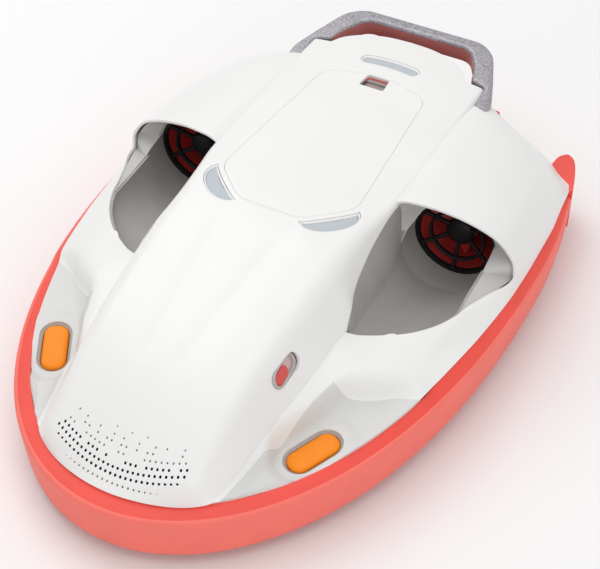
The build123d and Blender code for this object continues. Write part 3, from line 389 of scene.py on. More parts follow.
def ribbed_rubber(name, color):
    """Soft coral band: plain at the bow, fine upright ribs towards the stern."""
    mat = plastic(name, color, rough=0.55, grain=0.12, grain_scale=1800.0)
    tree, shader, coords, _ = parts_of(mat)
    axes = add_node(tree, "ShaderNodeSeparateXYZ", {"Vector": coords}).outputs
    wave = add_node(tree, "ShaderNodeTexWave", {"Vector": coords, "Scale": 125.0}, bands_direction="Y")
    aft = map_range(tree, axes["Y"], -0.03, 0.06)
    low = map_range(tree, axes["Z"], 0.046, 0.042)
    height = product(tree, product(tree, aft, low), wave.outputs["Fac"])
    grain = shader.inputs["Normal"].links[0].from_node
    feed(tree, grain, {"Normal": bump(tree, height, 0.5, 0.0006)})
    return mat


WHITE = (0.86, 0.855, 0.845)
M = {
    "shell": plastic("shell_white", WHITE, vary=0.012, rough=0.36, grain=0.03, blotch=14.0, coat=0.08),
    # the grip recess's grey: partly a greyer plastic, partly painted shade in the recess
    "recess": plastic("recess_grey", (0.70, 0.695, 0.68), vary=0.02, rough=0.5, grain=0.06),
    # the band's side and top are one coral: the side is painted lighter as lit, the top darker as painted shade
    "bumper": ribbed_rubber("bumper_coral", (0.95, 0.175, 0.135)),
    "bumper_top": plastic("bumper_top", (0.90, 0.082, 0.058), rough=0.5, grain=0.12, grain_scale=1800.0),
    "fairing": plastic("fairing_coral", (0.90, 0.095, 0.07), rough=0.45, grain=0.08),
    "hull": plastic("hull_coral", (0.80, 0.10, 0.065), rough=0.45, grain=0.08),
    "scoop": plastic("scoop_grey", (0.40, 0.385, 0.37), vary=0.04, rough=0.46, grain=0.08),
    "scoop_light": plastic("scoop_light", (0.58, 0.565, 0.55), rough=0.46, grain=0.08),
    "tick": plastic("tick_grey", (0.16, 0.152, 0.148), vary=0.1, rough=0.6),
    # painted shade inside the nose's perforations: black in the deep holes, grey in the shallow ones
    "dark": plastic("seam_dark", (0.012, 0.012, 0.013), vary=0.1, rough=0.8),
    "hole": plastic("hole_grey", (0.55, 0.55, 0.54), vary=0.1, rough=0.7),
    "duct": split_by_y("duct_two_tone", (0.40, 0.385, 0.37),
                      (0.55, 0.05, 0.045), 69.0, rough=0.4, grain=0.06),
    "stator": plastic("stator_red", (0.72, 0.075, 0.065), vary=0.06, rough=0.38, grain=0.06),
    "nozzle": plastic("nozzle_dark", (0.05, 0.045, 0.048), vary=0.08, rough=0.5, grain=0.08),
    "panel": plastic("panel_red", (0.16, 0.025, 0.022), vary=0.05, rough=0.5, grain=0.08),
    "grille": plastic("grille_black", (0.008, 0.007, 0.008), vary=0.15, rough=0.45, grain=0.06, specular=0.25),
    "prop": plastic("propeller_red", (0.86, 0.095, 0.075), vary=0.08, rough=0.32, grain=0.05, coat=0.2),
    "nut": plastic("nut_orange", (0.85, 0.32, 0.03), vary=0.05, rough=0.3, metallic=0.6),
    "steel": plastic("steel", (0.55, 0.55, 0.57), vary=0.05, rough=0.28, metallic=1.0, grain=0.1),
    "copper": plastic("copper", (0.60, 0.25, 0.12), vary=0.1, rough=0.35, metallic=1.0, grain=0.3),
    "motor": plastic("motor_alu", (0.60, 0.61, 0.63), vary=0.04, rough=0.35, metallic=1.0, grain=0.1),
    "bezel": plastic("bezel_grey", (0.40, 0.37, 0.345), vary=0.04, rough=0.48, grain=0.08),
    "button": plastic("button_orange", (0.98, 0.27, 0.0), vary=0.02, grain=0.04, specular=0.3),
    "lock": plastic("lock_grey", (0.50, 0.46, 0.45), rough=0.36, grain=0.05),
    "lock_tray": plastic("lock_tray_pink", (0.70, 0.52, 0.50), rough=0.4, grain=0.04),
    "slider": plastic("slider_red", (0.68, 0.06, 0.05), rough=0.3, grain=0.04, coat=0.2),
    "latch": plastic("latch_mauve", (0.33, 0.275, 0.265), vary=0.04, grain=0.08),
    "pad": plastic("pad_blue_grey", (0.50, 0.54, 0.575), vary=0.02, rough=0.62, grain=0.15, grain_scale=1600.0),
    "frame": plastic("frame_white", (0.90, 0.90, 0.89), vary=0.01, rough=0.3, coat=0.15),
    "seal": plastic("seal_black", (0.02, 0.02, 0.02), vary=0.1, rough=0.7),
    "feet": plastic("feet_rubber", (0.03, 0.03, 0.032), vary=0.1, rough=0.8, grain=0.3, grain_scale=1200.0),
    "handle": speckled("handle_speckled", (0.36, 0.345, 0.375), (0.20, 0.19, 0.215), (0.58, 0.565, 0.60)),
    # dark coral of the handle's inner faces: a coral grip darkened with painted shade and painted reflection of the
    # coral hull below
    "grip": plastic("grip_coral", (0.50, 0.17, 0.155), vary=0.06, rough=0.6, grain=0.2, grain_scale=1400.0),
    "battery": plastic("battery_dark", (0.07, 0.07, 0.075), vary=0.08, rough=0.5),
    "bay": plastic("bay_grey", (0.16, 0.16, 0.17), vary=0.05, rough=0.55),
    "board": plastic("board_green", (0.02, 0.14, 0.05), vary=0.2, rough=0.4, blotch=400.0),
}

NODE_MATERIALS = {
    "lower_hull": "hull", "hull_gasket": "seal", "cover_gasket": "seal", "latch_spring": "steel",
    "stern_panel": "panel", "duct": "duct", "jet_nozzle": "nozzle", "intake_grille": "grille", "propeller": "prop",
    "spinner_nut": "nut", "drive_shaft": "steel", "motor_rotor": "steel", "motor_windings": "copper",
    "motor_bearings": "steel", "motor_can": "motor", "stator": "stator", "button_spring": "steel",
    "button_switch": "nozzle", "battery_bay": "bay", "battery_pack": "battery", "controller_case": "bay",
    "controller_board": "board", "handle_screws": "steel", "hull_screws": "steel", "rubber_feet": "feet",
    "lock_slider": "slider", "battery_latch": "latch", "handle_grip": "grip", "carry_handle": "handle",
    "rim_bumper": "bumper", "stern_fairing": "fairing", "deck_cover": "shell", "battery_cover": "shell",
    "side_deck": "shell", "jet_hood": "shell", "intake_scoop": "scoop", "button_bezel": "bezel",
    "grip_button": "button", "lock_bezel": "lock", "pad_frames": "frame", "deck_pads": "pad",
}


def paint(obj, *keys):
    """Add materials to an object, in slot order."""
    for key in keys:
        obj.data.materials.append(M[key])
    return obj


for name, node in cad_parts.items():
    node.data.materials.clear()
    paint(node, NODE_MATERIALS[name.replace("_right", "").replace("_left", "")])


def place(obj, body, material, slot, *nodes):
    """Give a piece its material and body, and hide the CAD nodes it stands for; the slot is not used."""
    if material is not None:
        obj.data.materials.clear()
        paint(obj, material)
    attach(obj, body)
    if nodes:
        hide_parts(*nodes)


def place_pair(obj, material, slot, node, bodies=("hull", "hull")):
    """Place a right-hand piece and its mirrored left twin."""
    place(obj, bodies[0], material, slot, node + "_right")
    place(mirrored_copy(obj, obj.name + "_left"), bodies[1], None, slot, node + "_left")


# ---- spine deck
RIDGE = np.array([
    # y, ridge x, ridge z, crown z
    (-250, 50.0, 47.0, 49.5), (-236, 50.5, 52.0, 54.0), (-222, 52.5, 62.5, 65.0), (-206, 54.7, 73.4, 77.0),
    (-186, 57.6, 85.1, 88.6), (-166, 59.8, 94.9, 98.0), (-146, 61.2, 101.9, 104.8),
    (-126, 63.0, 106.9, 109.8),
    (-106, 64.2, 110.9, 113.8), (-86, 65.4, 114.8, 117.6), (-66, 66.2, 118.0, 120.6),
    (-46, 67.1, 120.9, 123.0),
    (-26, 67.9, 122.4, 124.6), (-6, 69.5, 122.6, 125.0), (14, 71.9, 121.8, 125.2), (34, 74.6, 120.9, 125.4),
    (80, 75.2, 120.6, 125.8), (120, 75.2, 120.5, 125.9), (172, 75.0, 120.0, 125.4), (201, 74.7, 119.6, 124.4),
    (231, 74.7, 118.6, 121.4)])
FOOT = np.array([
    # y, foot x, foot z
    (-250, 64.0, 44.0), (-217.5, 68.4, 50.0), (-180, 73.2, 60.0), (-145, 77.5, 68.0), (-100, 83.0, 75.2),
    (-64, 86.0, 80.0), (-52, 84.0, 90.0), (-36, 78.5, 96.0), (-21, 76.0, 101.0), (3, 74.6, 110.0),
    (34, 75.4, 118.0),
    (60, 76.0, 116.5), (201, 75.6, 113.0), (231, 75.6, 112.0)])


def spine(y):
    """Ridge x, ridge z, crown z, foot x, foot z at y."""
    ridge = smooth_curve(RIDGE[:, 0], RIDGE[:, 1:], np.atleast_1d(y))
    foot = smooth_curve(FOOT[:, 0], FOOT[:, 1:], np.atleast_1d(y))
    return np.concatenate([ridge, foot], axis=1)


def crown_z(x, y):
    """Height of the deck's top between the ridges, with two soft valleys on the nose."""
    rx, rz, cz, _, _ = spine(y)[0]
    share = min(1.0, abs(x) / rx)
    z = cz - (cz - rz) * share ** 2.2
    fade = np.interp(y, (-205, -150, -60, -12), (0.0, 1.0, 1.0, 0.0))
    valley = np.interp(y, (-200, -12), (9.0, 27.0))
    z -= 1.5 * fade * math.exp(-((abs(x) - valley) / 8.0) ** 2)
    z += 0.7 * fade * math.exp(-((abs(x) - valley - 19) / 11.0) ** 2)
    return z


def spine_half(y, flat=18, corner=8, slope=10):
    """Half section from the crown's centre out to the foot: a list of (x, z)."""
    rx, rz, cz, fx, fz = spine(y)[0]
    radius = np.interp(y, (-240, -150, -40, 20, 40), (5.0, 8.0, 8.0, 3.0, 1.6))
    inner_x = rx - radius
    pts = [(inner_x * k / flat, crown_z(inner_x * k / flat, y)) for k in range(flat)]
    start = np.array((inner_x, crown_z(inner_x, y)))
    down = np.array((fx - rx, fz - rz))
    length = np.linalg.norm(down)
    reach = min(radius * 1.1, 0.8 * length)
    end = np.array((rx, rz)) + down / max(length, 1e-6) * reach
    for k in range(corner):
        t = k / corner
        pts.append(tuple((1 - t) ** 2 * start + 2 * t * (1 - t) * np.array((rx, rz)) + t * t * end))
    for k in range(slope + 1):
        t = k / slope
        pts.append(tuple(end + (np.array((fx, fz)) - end) * t))
    return pts


def spine_grid(stern_y, rows=150):
    """Rows from the bow edge to stern_y; the first row lies on the rim's inner edge."""
    count = len(spine_half(0.0))
    base = np.concatenate([np.linspace(0, 0.32, 60, endpoint=False), np.linspace(0.32, 1, rows - 60)])
    ys = np.linspace(BOW_Y + 13, stern_y, 260)
    table = np.array([spine_half(y) for y in ys])
    grid = np.zeros((rows, count, 3))
    for j in range(count):
        xs, zs = table[:, j, 0], table[:, j, 1]
        y0 = BOW_Y + 14
        for _ in range(12):
            y0 = bow_y(np.interp(y0, ys, xs), RIM_INSET, RIM_BOW)
        y = y0 + (stern_y - y0) * base
        grid[:, j, 0] = np.interp(y, ys, xs)
        grid[:, j, 1] = y
        grid[:, j, 2] = np.interp(y, ys, zs)
        # the bow edge comes down to the rim
        lift = np.clip((y - y0) / NOSE_RUN, 0, 1)
        floor = np.interp(abs(grid[:, j, 0]), (0, 50, 70), (NOSE_LOW, NOSE_LOW, NOSE_LOW + 0.1))
        grid[:, j, 2] = floor + (grid[:, j, 2] - floor) * lift * (2 - lift)
    left = mirror_grid(grid[:, 1:][:, ::-1])
    return np.concatenate([left, grid], axis=1)


def half_loop(half):
    return half + [(-x, y) for x, y in reversed(half) if x > 0]


def cover_loop(gap):
    loop = rounded(half_loop(COVER), [40, 11, 11, 9, 9, 11, 11], 8)
    return grown(loop, gap) if gap else loop


def moon_loop(size, bulge, grow, steps=18):
    """Crescent: a hollow side near the local x axis and a full side below it, rounded at its tips."""
    reach = size / 2 + grow
    hollow, arc = [], []
    for k in range(1, steps):
        a = math.pi * k / steps
        hollow.append((-reach * math.cos(a), grow - 2.6 * math.sin(a)))
        arc.append((reach * math.cos(a), grow - (bulge + 2 * grow) * math.sin(a) ** 0.85))
    outline = [(-reach, grow)] + hollow + [(reach, grow)] + arc
    tip = 3.0 + grow
    return rounded(outline, [tip] + [0] * len(hollow) + [tip] + [0] * len(arc), 6)


def turned(loop, x, y, angle):
    c, s = math.cos(math.radians(angle)), math.sin(math.radians(angle))
    return [(x + c * a - s * b, y + s * a + c * b) for a, b in loop]


def bar_loop(half_length, half_across, bend, grow, steps=10):
    """A slightly bowed bar with round ends."""
    r = half_across + grow
    line = []
    for k in range(steps + 1):
        x = -half_length + 2 * half_length * k / steps
        line.append((x, bend * (1 - (x / half_length) ** 2)))
    cap = [(r * math.sin(math.pi * k / 8), r * math.cos(math.pi * k / 8)) for k in range(1, 8)]
    right = [(half_length + x, y) for x, y in cap]
    left = [(-half_length - x, -y) for x, y in cap]
    return [(x, y + r) for x, y in line] + right + [(x, y - r) for x, y in reversed(line)] + left


def crescent(grow):
    return turned(moon_loop(42.5, 13.5, grow), 43.6, -2.6, 43.3)


PADS = {
    "right": crescent,
    "left": lambda grow: [(-x, y) for x, y in reversed(crescent(grow))],
    "stern": lambda grow: turned(bar_loop(19.6, 4.6, 1.6, grow), 0.0, 188.6, 0.0),
}


def nose_z(x, y):
    """Height of the deck near its bow edge, where it comes down to the bumper."""
    lift = min(1.0, max(0.0, (y - bow_y(x, RIM_INSET, RIM_BOW)) / NOSE_RUN))
    return NOSE_LOW + (crown_z(x, y) - NOSE_LOW) * lift * (2 - lift)


def hole_cutter():
    """Every perforation of the nose, as one cutter of small posts: dark deep ones, grey shallow ones, their colours
    painted shade for the cut walls.
    """
    posts = bmesh.new()
    rows = [
        # offset from the bow edge, pitch, radius, pattern, depth below the surface
        (4.2, 3.95, 0.72, "x", 0.3), (8.5, 3.9, 0.95, "x", 2.0), (12.1, 3.8, 0.92, "x", 2.0),
        (15.9, 3.8, 0.90, "xx.xxx.x.xxx.xx.", 2.0), (19.9, 3.9, 0.72, "x.xxx.xx.xxx.xx.", 0.3),
        (23.9, 3.9, 0.72, ".xx.x..x.xx.x.x.", 0.3), (27.6, 3.9, 0.66, "x..x.x..x..x.x..", 0.3),
        (32.0, 3.9, 0.55, "..x....x....x...", 0.3)]
    for offset, pitch, radius, pattern, depth in rows:
        count = int(50.0 / pitch)
        for i in range(-count, count + 1):
            if pattern[abs(i * 7 + int(offset)) % len(pattern)] != "x":
                continue
            x = i * pitch
            y = bow_y(x, RIM_INSET, RIM_BOW) + offset - 0.0008 * x * x
            if abs(x) > spine(y)[0][0] - 2.4:
                continue
            m = Matrix.Translation(Vector((x, y, nose_z(x, y) + 2 - depth / 2)) * MM)
            made = bmesh.ops.create_cone(posts, cap_ends=True, segments=10, radius1=radius * MM,
                                         radius2=radius * MM, depth=(4 + depth) * MM, matrix=m)
            for face in {f for v in made["verts"] for f in v.link_faces}:
                # painted shade: black on the deep holes' walls, grey in the shallow dimples
                face.material_index = 0 if depth > 1 else 1
    mesh = bpy.data.meshes.new("holes")
    posts.to_mesh(mesh)
    posts.free()
    return paint(add_object("holes", mesh), "dark", "hole")


def thicken(obj, thickness):
    """Give a sheet a wall on the side that its normals point away from."""
    modifier(obj, "SOLIDIFY", thickness=thickness * MM, offset=-1.0)
    bake(obj)


def shell_from(name, grid, thickness, flip=False):
    """A sheet with a wall. With rows towards the stern and columns to the right, its normals point down
    and in, so the wall lies outside the net unless the sheet is flipped."""
    obj = grid_object(name, grid, flip)
    thicken(obj, thickness)
    return obj


deck_top = spine_grid(231.0)
deck = shell_from("spine_deck", deck_top, DECK_WALL)
lid = shell_from("battery_lid", deck_top, DECK_WALL)

# stern outline of the deck: the rounded tab, the shoulders at y 201, then far past the bow
STERN_HALF = [(0, 230.5), (20, 229.5), (40, 223.5), (55.0, 212.0), (60.5, 201.0), (90, 201.0), (90, -300)]
STERN_RADII = [2, 8, 8, 8, 1.0, 2.0, 0, 0, 2.0, 1.0, 8, 8, 8]
cut(deck, loop_prism("stern_cut", rounded(half_loop(STERN_HALF), STERN_RADII, 6), 20, 150), "INTERSECT")
cut(deck, loop_prism("window", cover_loop(0.22), 100, 140))
for loop in PADS.values():
    cut(deck, loop_prism("pocket", loop(1.95), 112, 140))
paint(deck, "shell")
# the cut walls take the cutter's painted shade
cut(deck, hole_cutter(), materials="TRANSFER")
LOCK = local_frame((71.3, -123.0, 92.0), (("Y", 64.0), ("Z", 97.0)))


def capsule_loop(length, width, steps=10):
    r = width / 2
    half = length / 2 - r
    pts = []
    for k in range(steps + 1):
        a = -math.pi / 2 + math.pi * k / steps
        pts.append((half + r * math.cos(a), r * math.sin(a)))
    for k in range(steps + 1):
        a = math.pi / 2 + math.pi * k / steps
        pts.append((-half + r * math.cos(a), r * math.sin(a)))
    return pts


lock_cut = loop_prism("lock_cut", capsule_loop(29.6, 14.6), -14, 14)
lock_cut.data.transform(LOCK)
cut(deck, lock_cut)
soften(deck, 0.45, 2, 40.0)
place(deck, "hull", None, "shell_white", "deck_cover")

cut(lid, loop_prism("lid_cut", cover_loop(-0.06), 100, 140), "INTERSECT")
latch_loop = rounded([(-10.8, 152.2), (10.8, 152.2), (9.4, 168.0), (-9.4, 168.0)], 2.6, 5)
cut(lid, loop_prism("latch_cut", latch_loop, 100, 140))
soften(lid, 0.4, 2, 40.0)
place(lid, "cover", "shell", "shell_white")

# ---- pads and their frames
PAD_RIM = ((0, -3.0), (0, 1.3), (0.25, 2.1), (0.7, 2.0), (1, 1.0), (1, -3.0))   # share inwards, rise
frames, pads = [], []
for key, loop in PADS.items():
    ring = []
    for a, b in zip(np.array(loop(1.7)), np.array(loop(0.0))):
        z = crown_z(a[0], a[1])
        ring.append([(*(a * (1 - share) + b * share), z + rise) for share, rise in PAD_RIM])
    ring.append(ring[0])
    frames.append(clean(grid_object("pad_frame_" + key, np.array(ring))))
    layers = []
    for grow, rise in ((-0.1, -3.0), (-0.1, 0.25), (-0.5, 0.75), (-1.3, 1.0)):
        layers.append([(x, y, crown_z(x, y) + rise) for x, y in grown(loop(0.0), grow)])
    middle = np.array(layers[-1]).mean(axis=0)
    for share in (0.5, 0.04):
        inward = [middle + (np.array(p) - middle) * share for p in layers[-1]]
        layers.append([(x, y, crown_z(x, y) + 1.05) for x, y, _ in inward])
    pads.append(clean(grid_object("pad_" + key, np.array(layers), close=True)))
frames_obj = join("pad_frames_soft", frames)
shade(frames_obj, 60)
place(frames_obj, "hull", "frame", "frame_white", "pad_frames")
pads_obj = join("pads_soft", pads)
shade(pads_obj, 60)
place(pads_obj, "hull", "pad", "pad_blue_grey", "deck_pads")

# ---- side decks
RIM_Z = [(-240, 49.7), (-211.5, 50.1), (-175, 50.6), (-128, 51.6), (-91, 53.0), (-75, 54.4), (-62, 58.4),
         (-46, 58.9),
         (2, 59.6), (27, 60.0), (57, 60.0), (90, 59.6), (150, 58.4), (190, 55.6), (197, 55.0)]


def rim_z(y):
    """Height of the bumper's inner top edge, where the white shells end."""
    return float(np.interp(y, [k[0] for k in RIM_Z], [k[1] for k in RIM_Z]))


def rim_point(y):
    return (half_width(y, RIM_INSET, RIM_BOW), y, rim_z(y))


SIDE_A = [
    [(x, bow_y(x, RIM_INSET, RIM_BOW) + 0.1, 50.1) for x in np.linspace(68.2, 80.5, 7)],
    [(71.8, -190, 57), (73.4, -190, 55.8), (75.6, -190, 53.6), (84, -187, 49.0), (94, -183, 47.8),
     (101, -179, 49.0),
     rim_point(-175)],
    [(76.9, -150, 67), (79.8, -150, 66.0), (83.0, -150, 63.4), (94, -149, 49.6), (107, -144, 48.6),
     (119, -136, 50.0),
     rim_point(-128)],
    [(80.6, -120, 72), (86.4, -119.5, 71.2), (92.0, -119, 69.2), (103, -114, 54.4), (115, -108, 51.0),
     (128, -99, 51.4),
     rim_point(-91)],
    [(82.6, -103, 74.9), (90.0, -103, 74.4), (97.4, -102, 73.0), (107, -98, 58.6), (121, -90, 54.4),
     (135, -80, 53.6),
     rim_point(-74)],
    [(84.2, -88, 77.4), (92, -90.5, 77), (100.8, -91.4, 75.9), (112, -84, 73.4), (125, -74.5, 70.8),
     (139, -65.5, 67.4),
     rim_point(-62)],
    [(85.8, -68, 80.4), (94.5, -66.0, 79.4), (102.5, -61.5, 78.4), (111, -56.0, 77.2), (119.5, -50.0, 76.0),
     (139.8, -52, 68.8), rim_point(-52)],
    [(86.5, -62.2, 80.5), (94.2, -60.2, 79.6), (102, -55.8, 78.6), (110, -50.1, 77.6), (118, -43.7, 76.8),
     (140.0, -46, 69.2), rim_point(-46)],
]
SIDE_B = [
    [(118, -43.7, 76.8), (129, -45, 73.2), (140.0, -46, 69.2), (148, -46, 64.2), rim_point(-46)],
    [(126.2, -35.8, 75.9), (134, -34.4, 73.4), (141.6, -33, 70.4), (149.5, -33, 64.8), rim_point(-33)],
    [(137.7, -21, 75.0), (141.0, -21, 73.6), (144.4, -21, 72.0), (152, -21, 65.4), rim_point(-21)],
    [(143.6, -10, 74.7), (145.6, -10, 73.8), (147.6, -10, 72.7), (155, -10, 66.0), rim_point(-10)],
    [(147.5, -0.1, 74.6), (148.6, 0.4, 74.2), (150.0, 1, 73.4), (157.4, 2, 66.4), rim_point(2)],
    [(156, 26, 72.6), (157.0, 26.5, 72.3), (158.4, 27, 71.6), (163, 27, 66.0), rim_point(27)],
    [(165.6, 56, 70.2), (165.9, 56.5, 70.0), (166.2, 57, 69.0), (166.9, 57, 65.0), rim_point(57)],
    [(165.9, 90, 64), (166.3, 90, 63.5), (166.7, 90, 62.8), (167.1, 90, 61.4), rim_point(90)],
    [(163.0, 150, 60), (163.4, 150, 59.8), (163.8, 150, 59.5), (164.0, 150, 59.0), rim_point(150)],
    [(156.0, 197, 56), (156.4, 197, 56), (156.8, 197, 55.8), (157, 197, 55.5), rim_point(197)],
]


def row_share(rows, k):
    """Share of a net's length at which its control row k lies."""
    steps = np.linalg.norm(np.diff(np.array(rows, float), axis=0), axis=2).mean(axis=1)
    return float(np.sum(steps[:k]) / np.sum(steps))


def flat_round_button(grid):
    """Level the recess round the button, so its bezel sits flush."""
    x, y = grid[..., 0] - BUTTON_POS[0], grid[..., 1] - BUTTON_POS[1]
    turn = math.radians(90 - BUTTON_TURN)
    along = x * math.cos(turn) + y * math.sin(turn)
    across = -x * math.sin(turn) + y * math.cos(turn)
    distance = np.hypot(np.maximum(0, abs(along) - 11.0), across)
    share = np.clip((25.0 - distance) / 9.0, 0, 1)
    share = share * share * (3 - 2 * share)
    level = BUTTON_POS[2] + 0.5 + along * math.tan(math.radians(BUTTON_TILT))
    grid[..., 2] = grid[..., 2] * (1 - share) + level * share
    return grid


ACROSS_A, ALONG_A = 61, 150
CREASE_COLUMN = (ACROSS_A - 1) // 3
patch_a = paint(grid_object("side_a", flat_round_button(net(SIDE_A, ACROSS_A, ALONG_A))), "shell", "recess")
edge_row = int(row_share(SIDE_A, 4) * (ALONG_A - 1))
# faces of the recess floor take the darker grey, partly painted shade
for k, poly in enumerate(patch_a.data.polygons):
    row, column = divmod(k, ACROSS_A - 1)
    poly.material_index = 1 if row < edge_row and column >= CREASE_COLUMN else 0
thicken(patch_a, SIDE_WALL)
patch_b = paint(shell_from("side_b", net(SIDE_B, 26, 120), SIDE_WALL), "shell")
BUTTON = local_frame(BUTTON_POS, (("Z", 90 - BUTTON_TURN), ("Y", -BUTTON_TILT)))
well = loop_prism("well", capsule_loop(46.0, 24.5), -12, 12)
well.data.transform(BUTTON)
cut(patch_a, well)
side = join("side_deck_white", [patch_a, patch_b])
shade(side, 42)
place_pair(side, None, "shell_white", "side_deck")

# ---- hoods
HOOD = [
    # row: keys across from inboard top to outboard foot
    [(74.8, 40.0, 119.5), (80.5, 41.0, 121.9), (86.8, 42.0, 123.0), (103, 45.2, 121.7), (121, 48.6, 117.8),
     (139, 52, 111),
     (152, 54.4, 103), (160, 55.9, 93.5), (165, 56.8, 83), (166.2, 57.0, 70)],
    [(74.8, 90, 119.6), (80.5, 90, 121.9), (87.5, 90, 122.9), (103.5, 90, 121), (121.5, 90, 116.3),
     (139, 90, 108.6),
     (152.6, 90, 99.6), (161, 90, 89), (166.2, 90, 76), (168.0, 90, 62)],
    [(74.8, 130, 119.5), (80.5, 130, 121.4), (88, 130, 122), (104, 130, 119.2), (121.5, 130, 113.4),
     (138, 130, 104.6),
     (151.5, 130, 94.2), (160, 130, 83), (165, 130, 71.5), (166.8, 130, 60)],
    [(74.8, 171, 117.6), (80.5, 171, 118.2), (88, 171, 117.6), (103, 171, 113), (119.5, 171, 105.4),
     (134.5, 171, 95.4),
     (146.8, 171, 84.4), (154.8, 171, 74.5), (160.0, 171, 65.2), (162.2, 171, 57.5)],
    [(74.8, 197, 112.5), (79.5, 197, 110.8), (86, 197, 107.4), (98.6, 197, 98.6), (114, 197, 89),
     (129, 197, 80),
     (140, 197, 71.4), (148, 197, 62.8), (155, 197, 57.6), (160.2, 197, 54)],
]
hood = shell_from("jet_hood_soft", net(HOOD, 64, 90), HOOD_WALL)
soften(hood, 0.5, 3, 60.0)
shade(hood, 42)
place_pair(hood, "shell", "shell_white", "jet_hood")

# ---- scoops
SCOOP_ROWS = [
    # y, inboard top (x, z), trough centre x, half width, bottom z, inboard rim z, outboard rim z
    (-62.4, (86.2, 80.2), 86.8, 0.3, 80.0, 80.2, 80.2),
    (-58.0, (85.6, 84.0), 92.3, 6.5, 76.8, 79.8, 78.7),
    (-54.0, (84.6, 88.0), 96.4, 8.9, 74.4, 78.8, 77.9),
    (-44.0, (80.6, 93.4), 102.0, 16.1, 70.0, 77.0, 76.4),
    (-33.0, (78.0, 97.0), 106.9, 22.2, 65.6, 75.2, 75.3),
    (-21.0, (76.0, 100.4), 111.1, 27.2, 61.8, 74.0, 74.6),
    (-10.0, (75.4, 105.0), 113.7, 30.4, 58.0, 73.4, 74.4),
    (1.0, (74.8, 109.0), 115.0, 32.4, 54.6, 73.0, 74.3),
    (22.0, (75.0, 115.0), 114.2, 32.6, 49.4, 75.5, 76.4),
    (47.4, (75.6, 118.4), 112.4, 34.4, 43.4, DUCT_Z, DUCT_Z),
]
LEDGE_ROWS = [
    # y, bore side (x, z), outer edge (x, z)
    (0.6, (147.1, 74.4), (147.5, 74.3)), (22.0, (146.9, 76.3), (154.8, 72.7)),
    (46.5, (146.9, 78.3), (162.6, 70.7)), (58.0, (146.9, 78.3), (165.2, 69.9)), (71.5, (146.9, 78.3),
    (164.6, 69.4))]
BORE_R, COLLAR_R = 33.4, 35.4
TICKS = [(86.8, -30.0, 84.6, -12.0), (93.2, -27.0, 89.6, -10.5), (99.2, -24.2, 97.2, -7.0),
         (104.6, -20.6, 102.8, -3.4),
         (109.8, -17.2, 108.4, 0.0), (114.8, -13.4, 113.7, 2.2), (121.2, -6.0, 120.6, 7.0)]


def scoop_section(row, steps=20):
    y, (ix, iz), cx, half, bottom, rim, out_rim = row
    pts = [(ix, y, iz)]
    for k in range(1, 7):
        t = k / 7
        pts.append((ix + (cx - half - ix) * t, y, iz + (rim - iz) * t))
    for k in range(steps + 1):
        a = math.pi * k / steps
        top = rim + (out_rim - rim) * k / steps
        pts.append((cx - half * math.cos(a), y, top - (top - bottom) * math.sin(a)))
    return pts


def fine_rows(rows, count):
    rows = np.asarray(rows, float)
    keys = rows[:, 0, 1]
    ys = np.linspace(keys[0], keys[-1], count)
    return np.stack([smooth_curve(keys, rows[:, j], ys) for j in range(rows.shape[1])], axis=1)


def revolved(name, profile, segments=72, start=0.0):
    """Closed ring about the duct's axis: profile of (radius, y), or a function of the angle giving one."""
    rows = []
    for k in range(segments + 1):
        a = 2 * math.pi * k / segments
        points = profile(a) if callable(profile) else profile
        row = [(DUCT_X + r * math.cos(a), y, DUCT_Z + r * math.sin(a)) for r, y in points]
        rows.append(row + [row[0]])
    return clean(grid_object(name, np.array(rows)))


scoop = shell_from("scoop_trough", fine_rows([scoop_section(r) for r in SCOOP_ROWS], 60), SCOOP_WALL)
ledge_grid = []
for y, a, b in LEDGE_ROWS:
    ledge_grid.append([(a[0] + (b[0] - a[0]) * t, y, a[1] + (b[1] - a[1]) * t - 1.6 * t * (1 - t) * min(1, y / 22))
                       for t in np.linspace(0, 1, 7)])
ledge = shell_from("scoop_ledge", fine_rows(ledge_grid, 28), 0.7)
# face inside the hood's mouth, round the bore: its outer edge hides just behind the hood's edge
mouth = smooth_curve(np.linspace(0, 1, len(HOOD[0])), np.array(HOOD[0]), np.linspace(0, 1, 70))
axis_point = np.array((DUCT_X, 0, DUCT_Z))


def lip_y(a):
    """Where the bore's wall starts at the angle: at the bow below, further back above."""
    if math.sin(a) <= 0:
        return 45.2
    side = math.degrees(a) if math.cos(a) > 0 else 180 - math.degrees(a)
    first, last = (0.0, 14.0) if math.cos(a) > 0 else (12.0, 44.0)
    t = min(1.0, max(0.0, (side - first) / (last - first)))
    return 45.2 + 24.0 * t * t * (3 - 2 * t)


face_rows = [[], [], []]
inboard_wall = [(77.6, 47.0, 80.0), (76.8, 47.0, 92.0), (76.2, 46.6, 106.0)]
for k, p in enumerate(inboard_wall + list(mouth)):
    p = np.array(p, float)
    out = (p - axis_point) * np.array((1, 0, 1))
    out /= np.linalg.norm(out)
    a = math.atan2(out[2], out[0])
    edge = p if k < len(inboard_wall) else p - out * 1.6 + np.array((0, 3.4, 0))
    rim = axis_point + out * (COLLAR_R - 0.6)
    face_rows[0].append(tuple(edge))
    face_rows[1].append((rim[0], lip_y(a) + 0.5, rim[2]))
    face_rows[2].append((rim[0] - out[0] * 1.3, lip_y(a) + 0.9, rim[2] - out[2] * 1.3))
face = shell_from("scoop_face", np.array(face_rows), 1.0, flip=True)


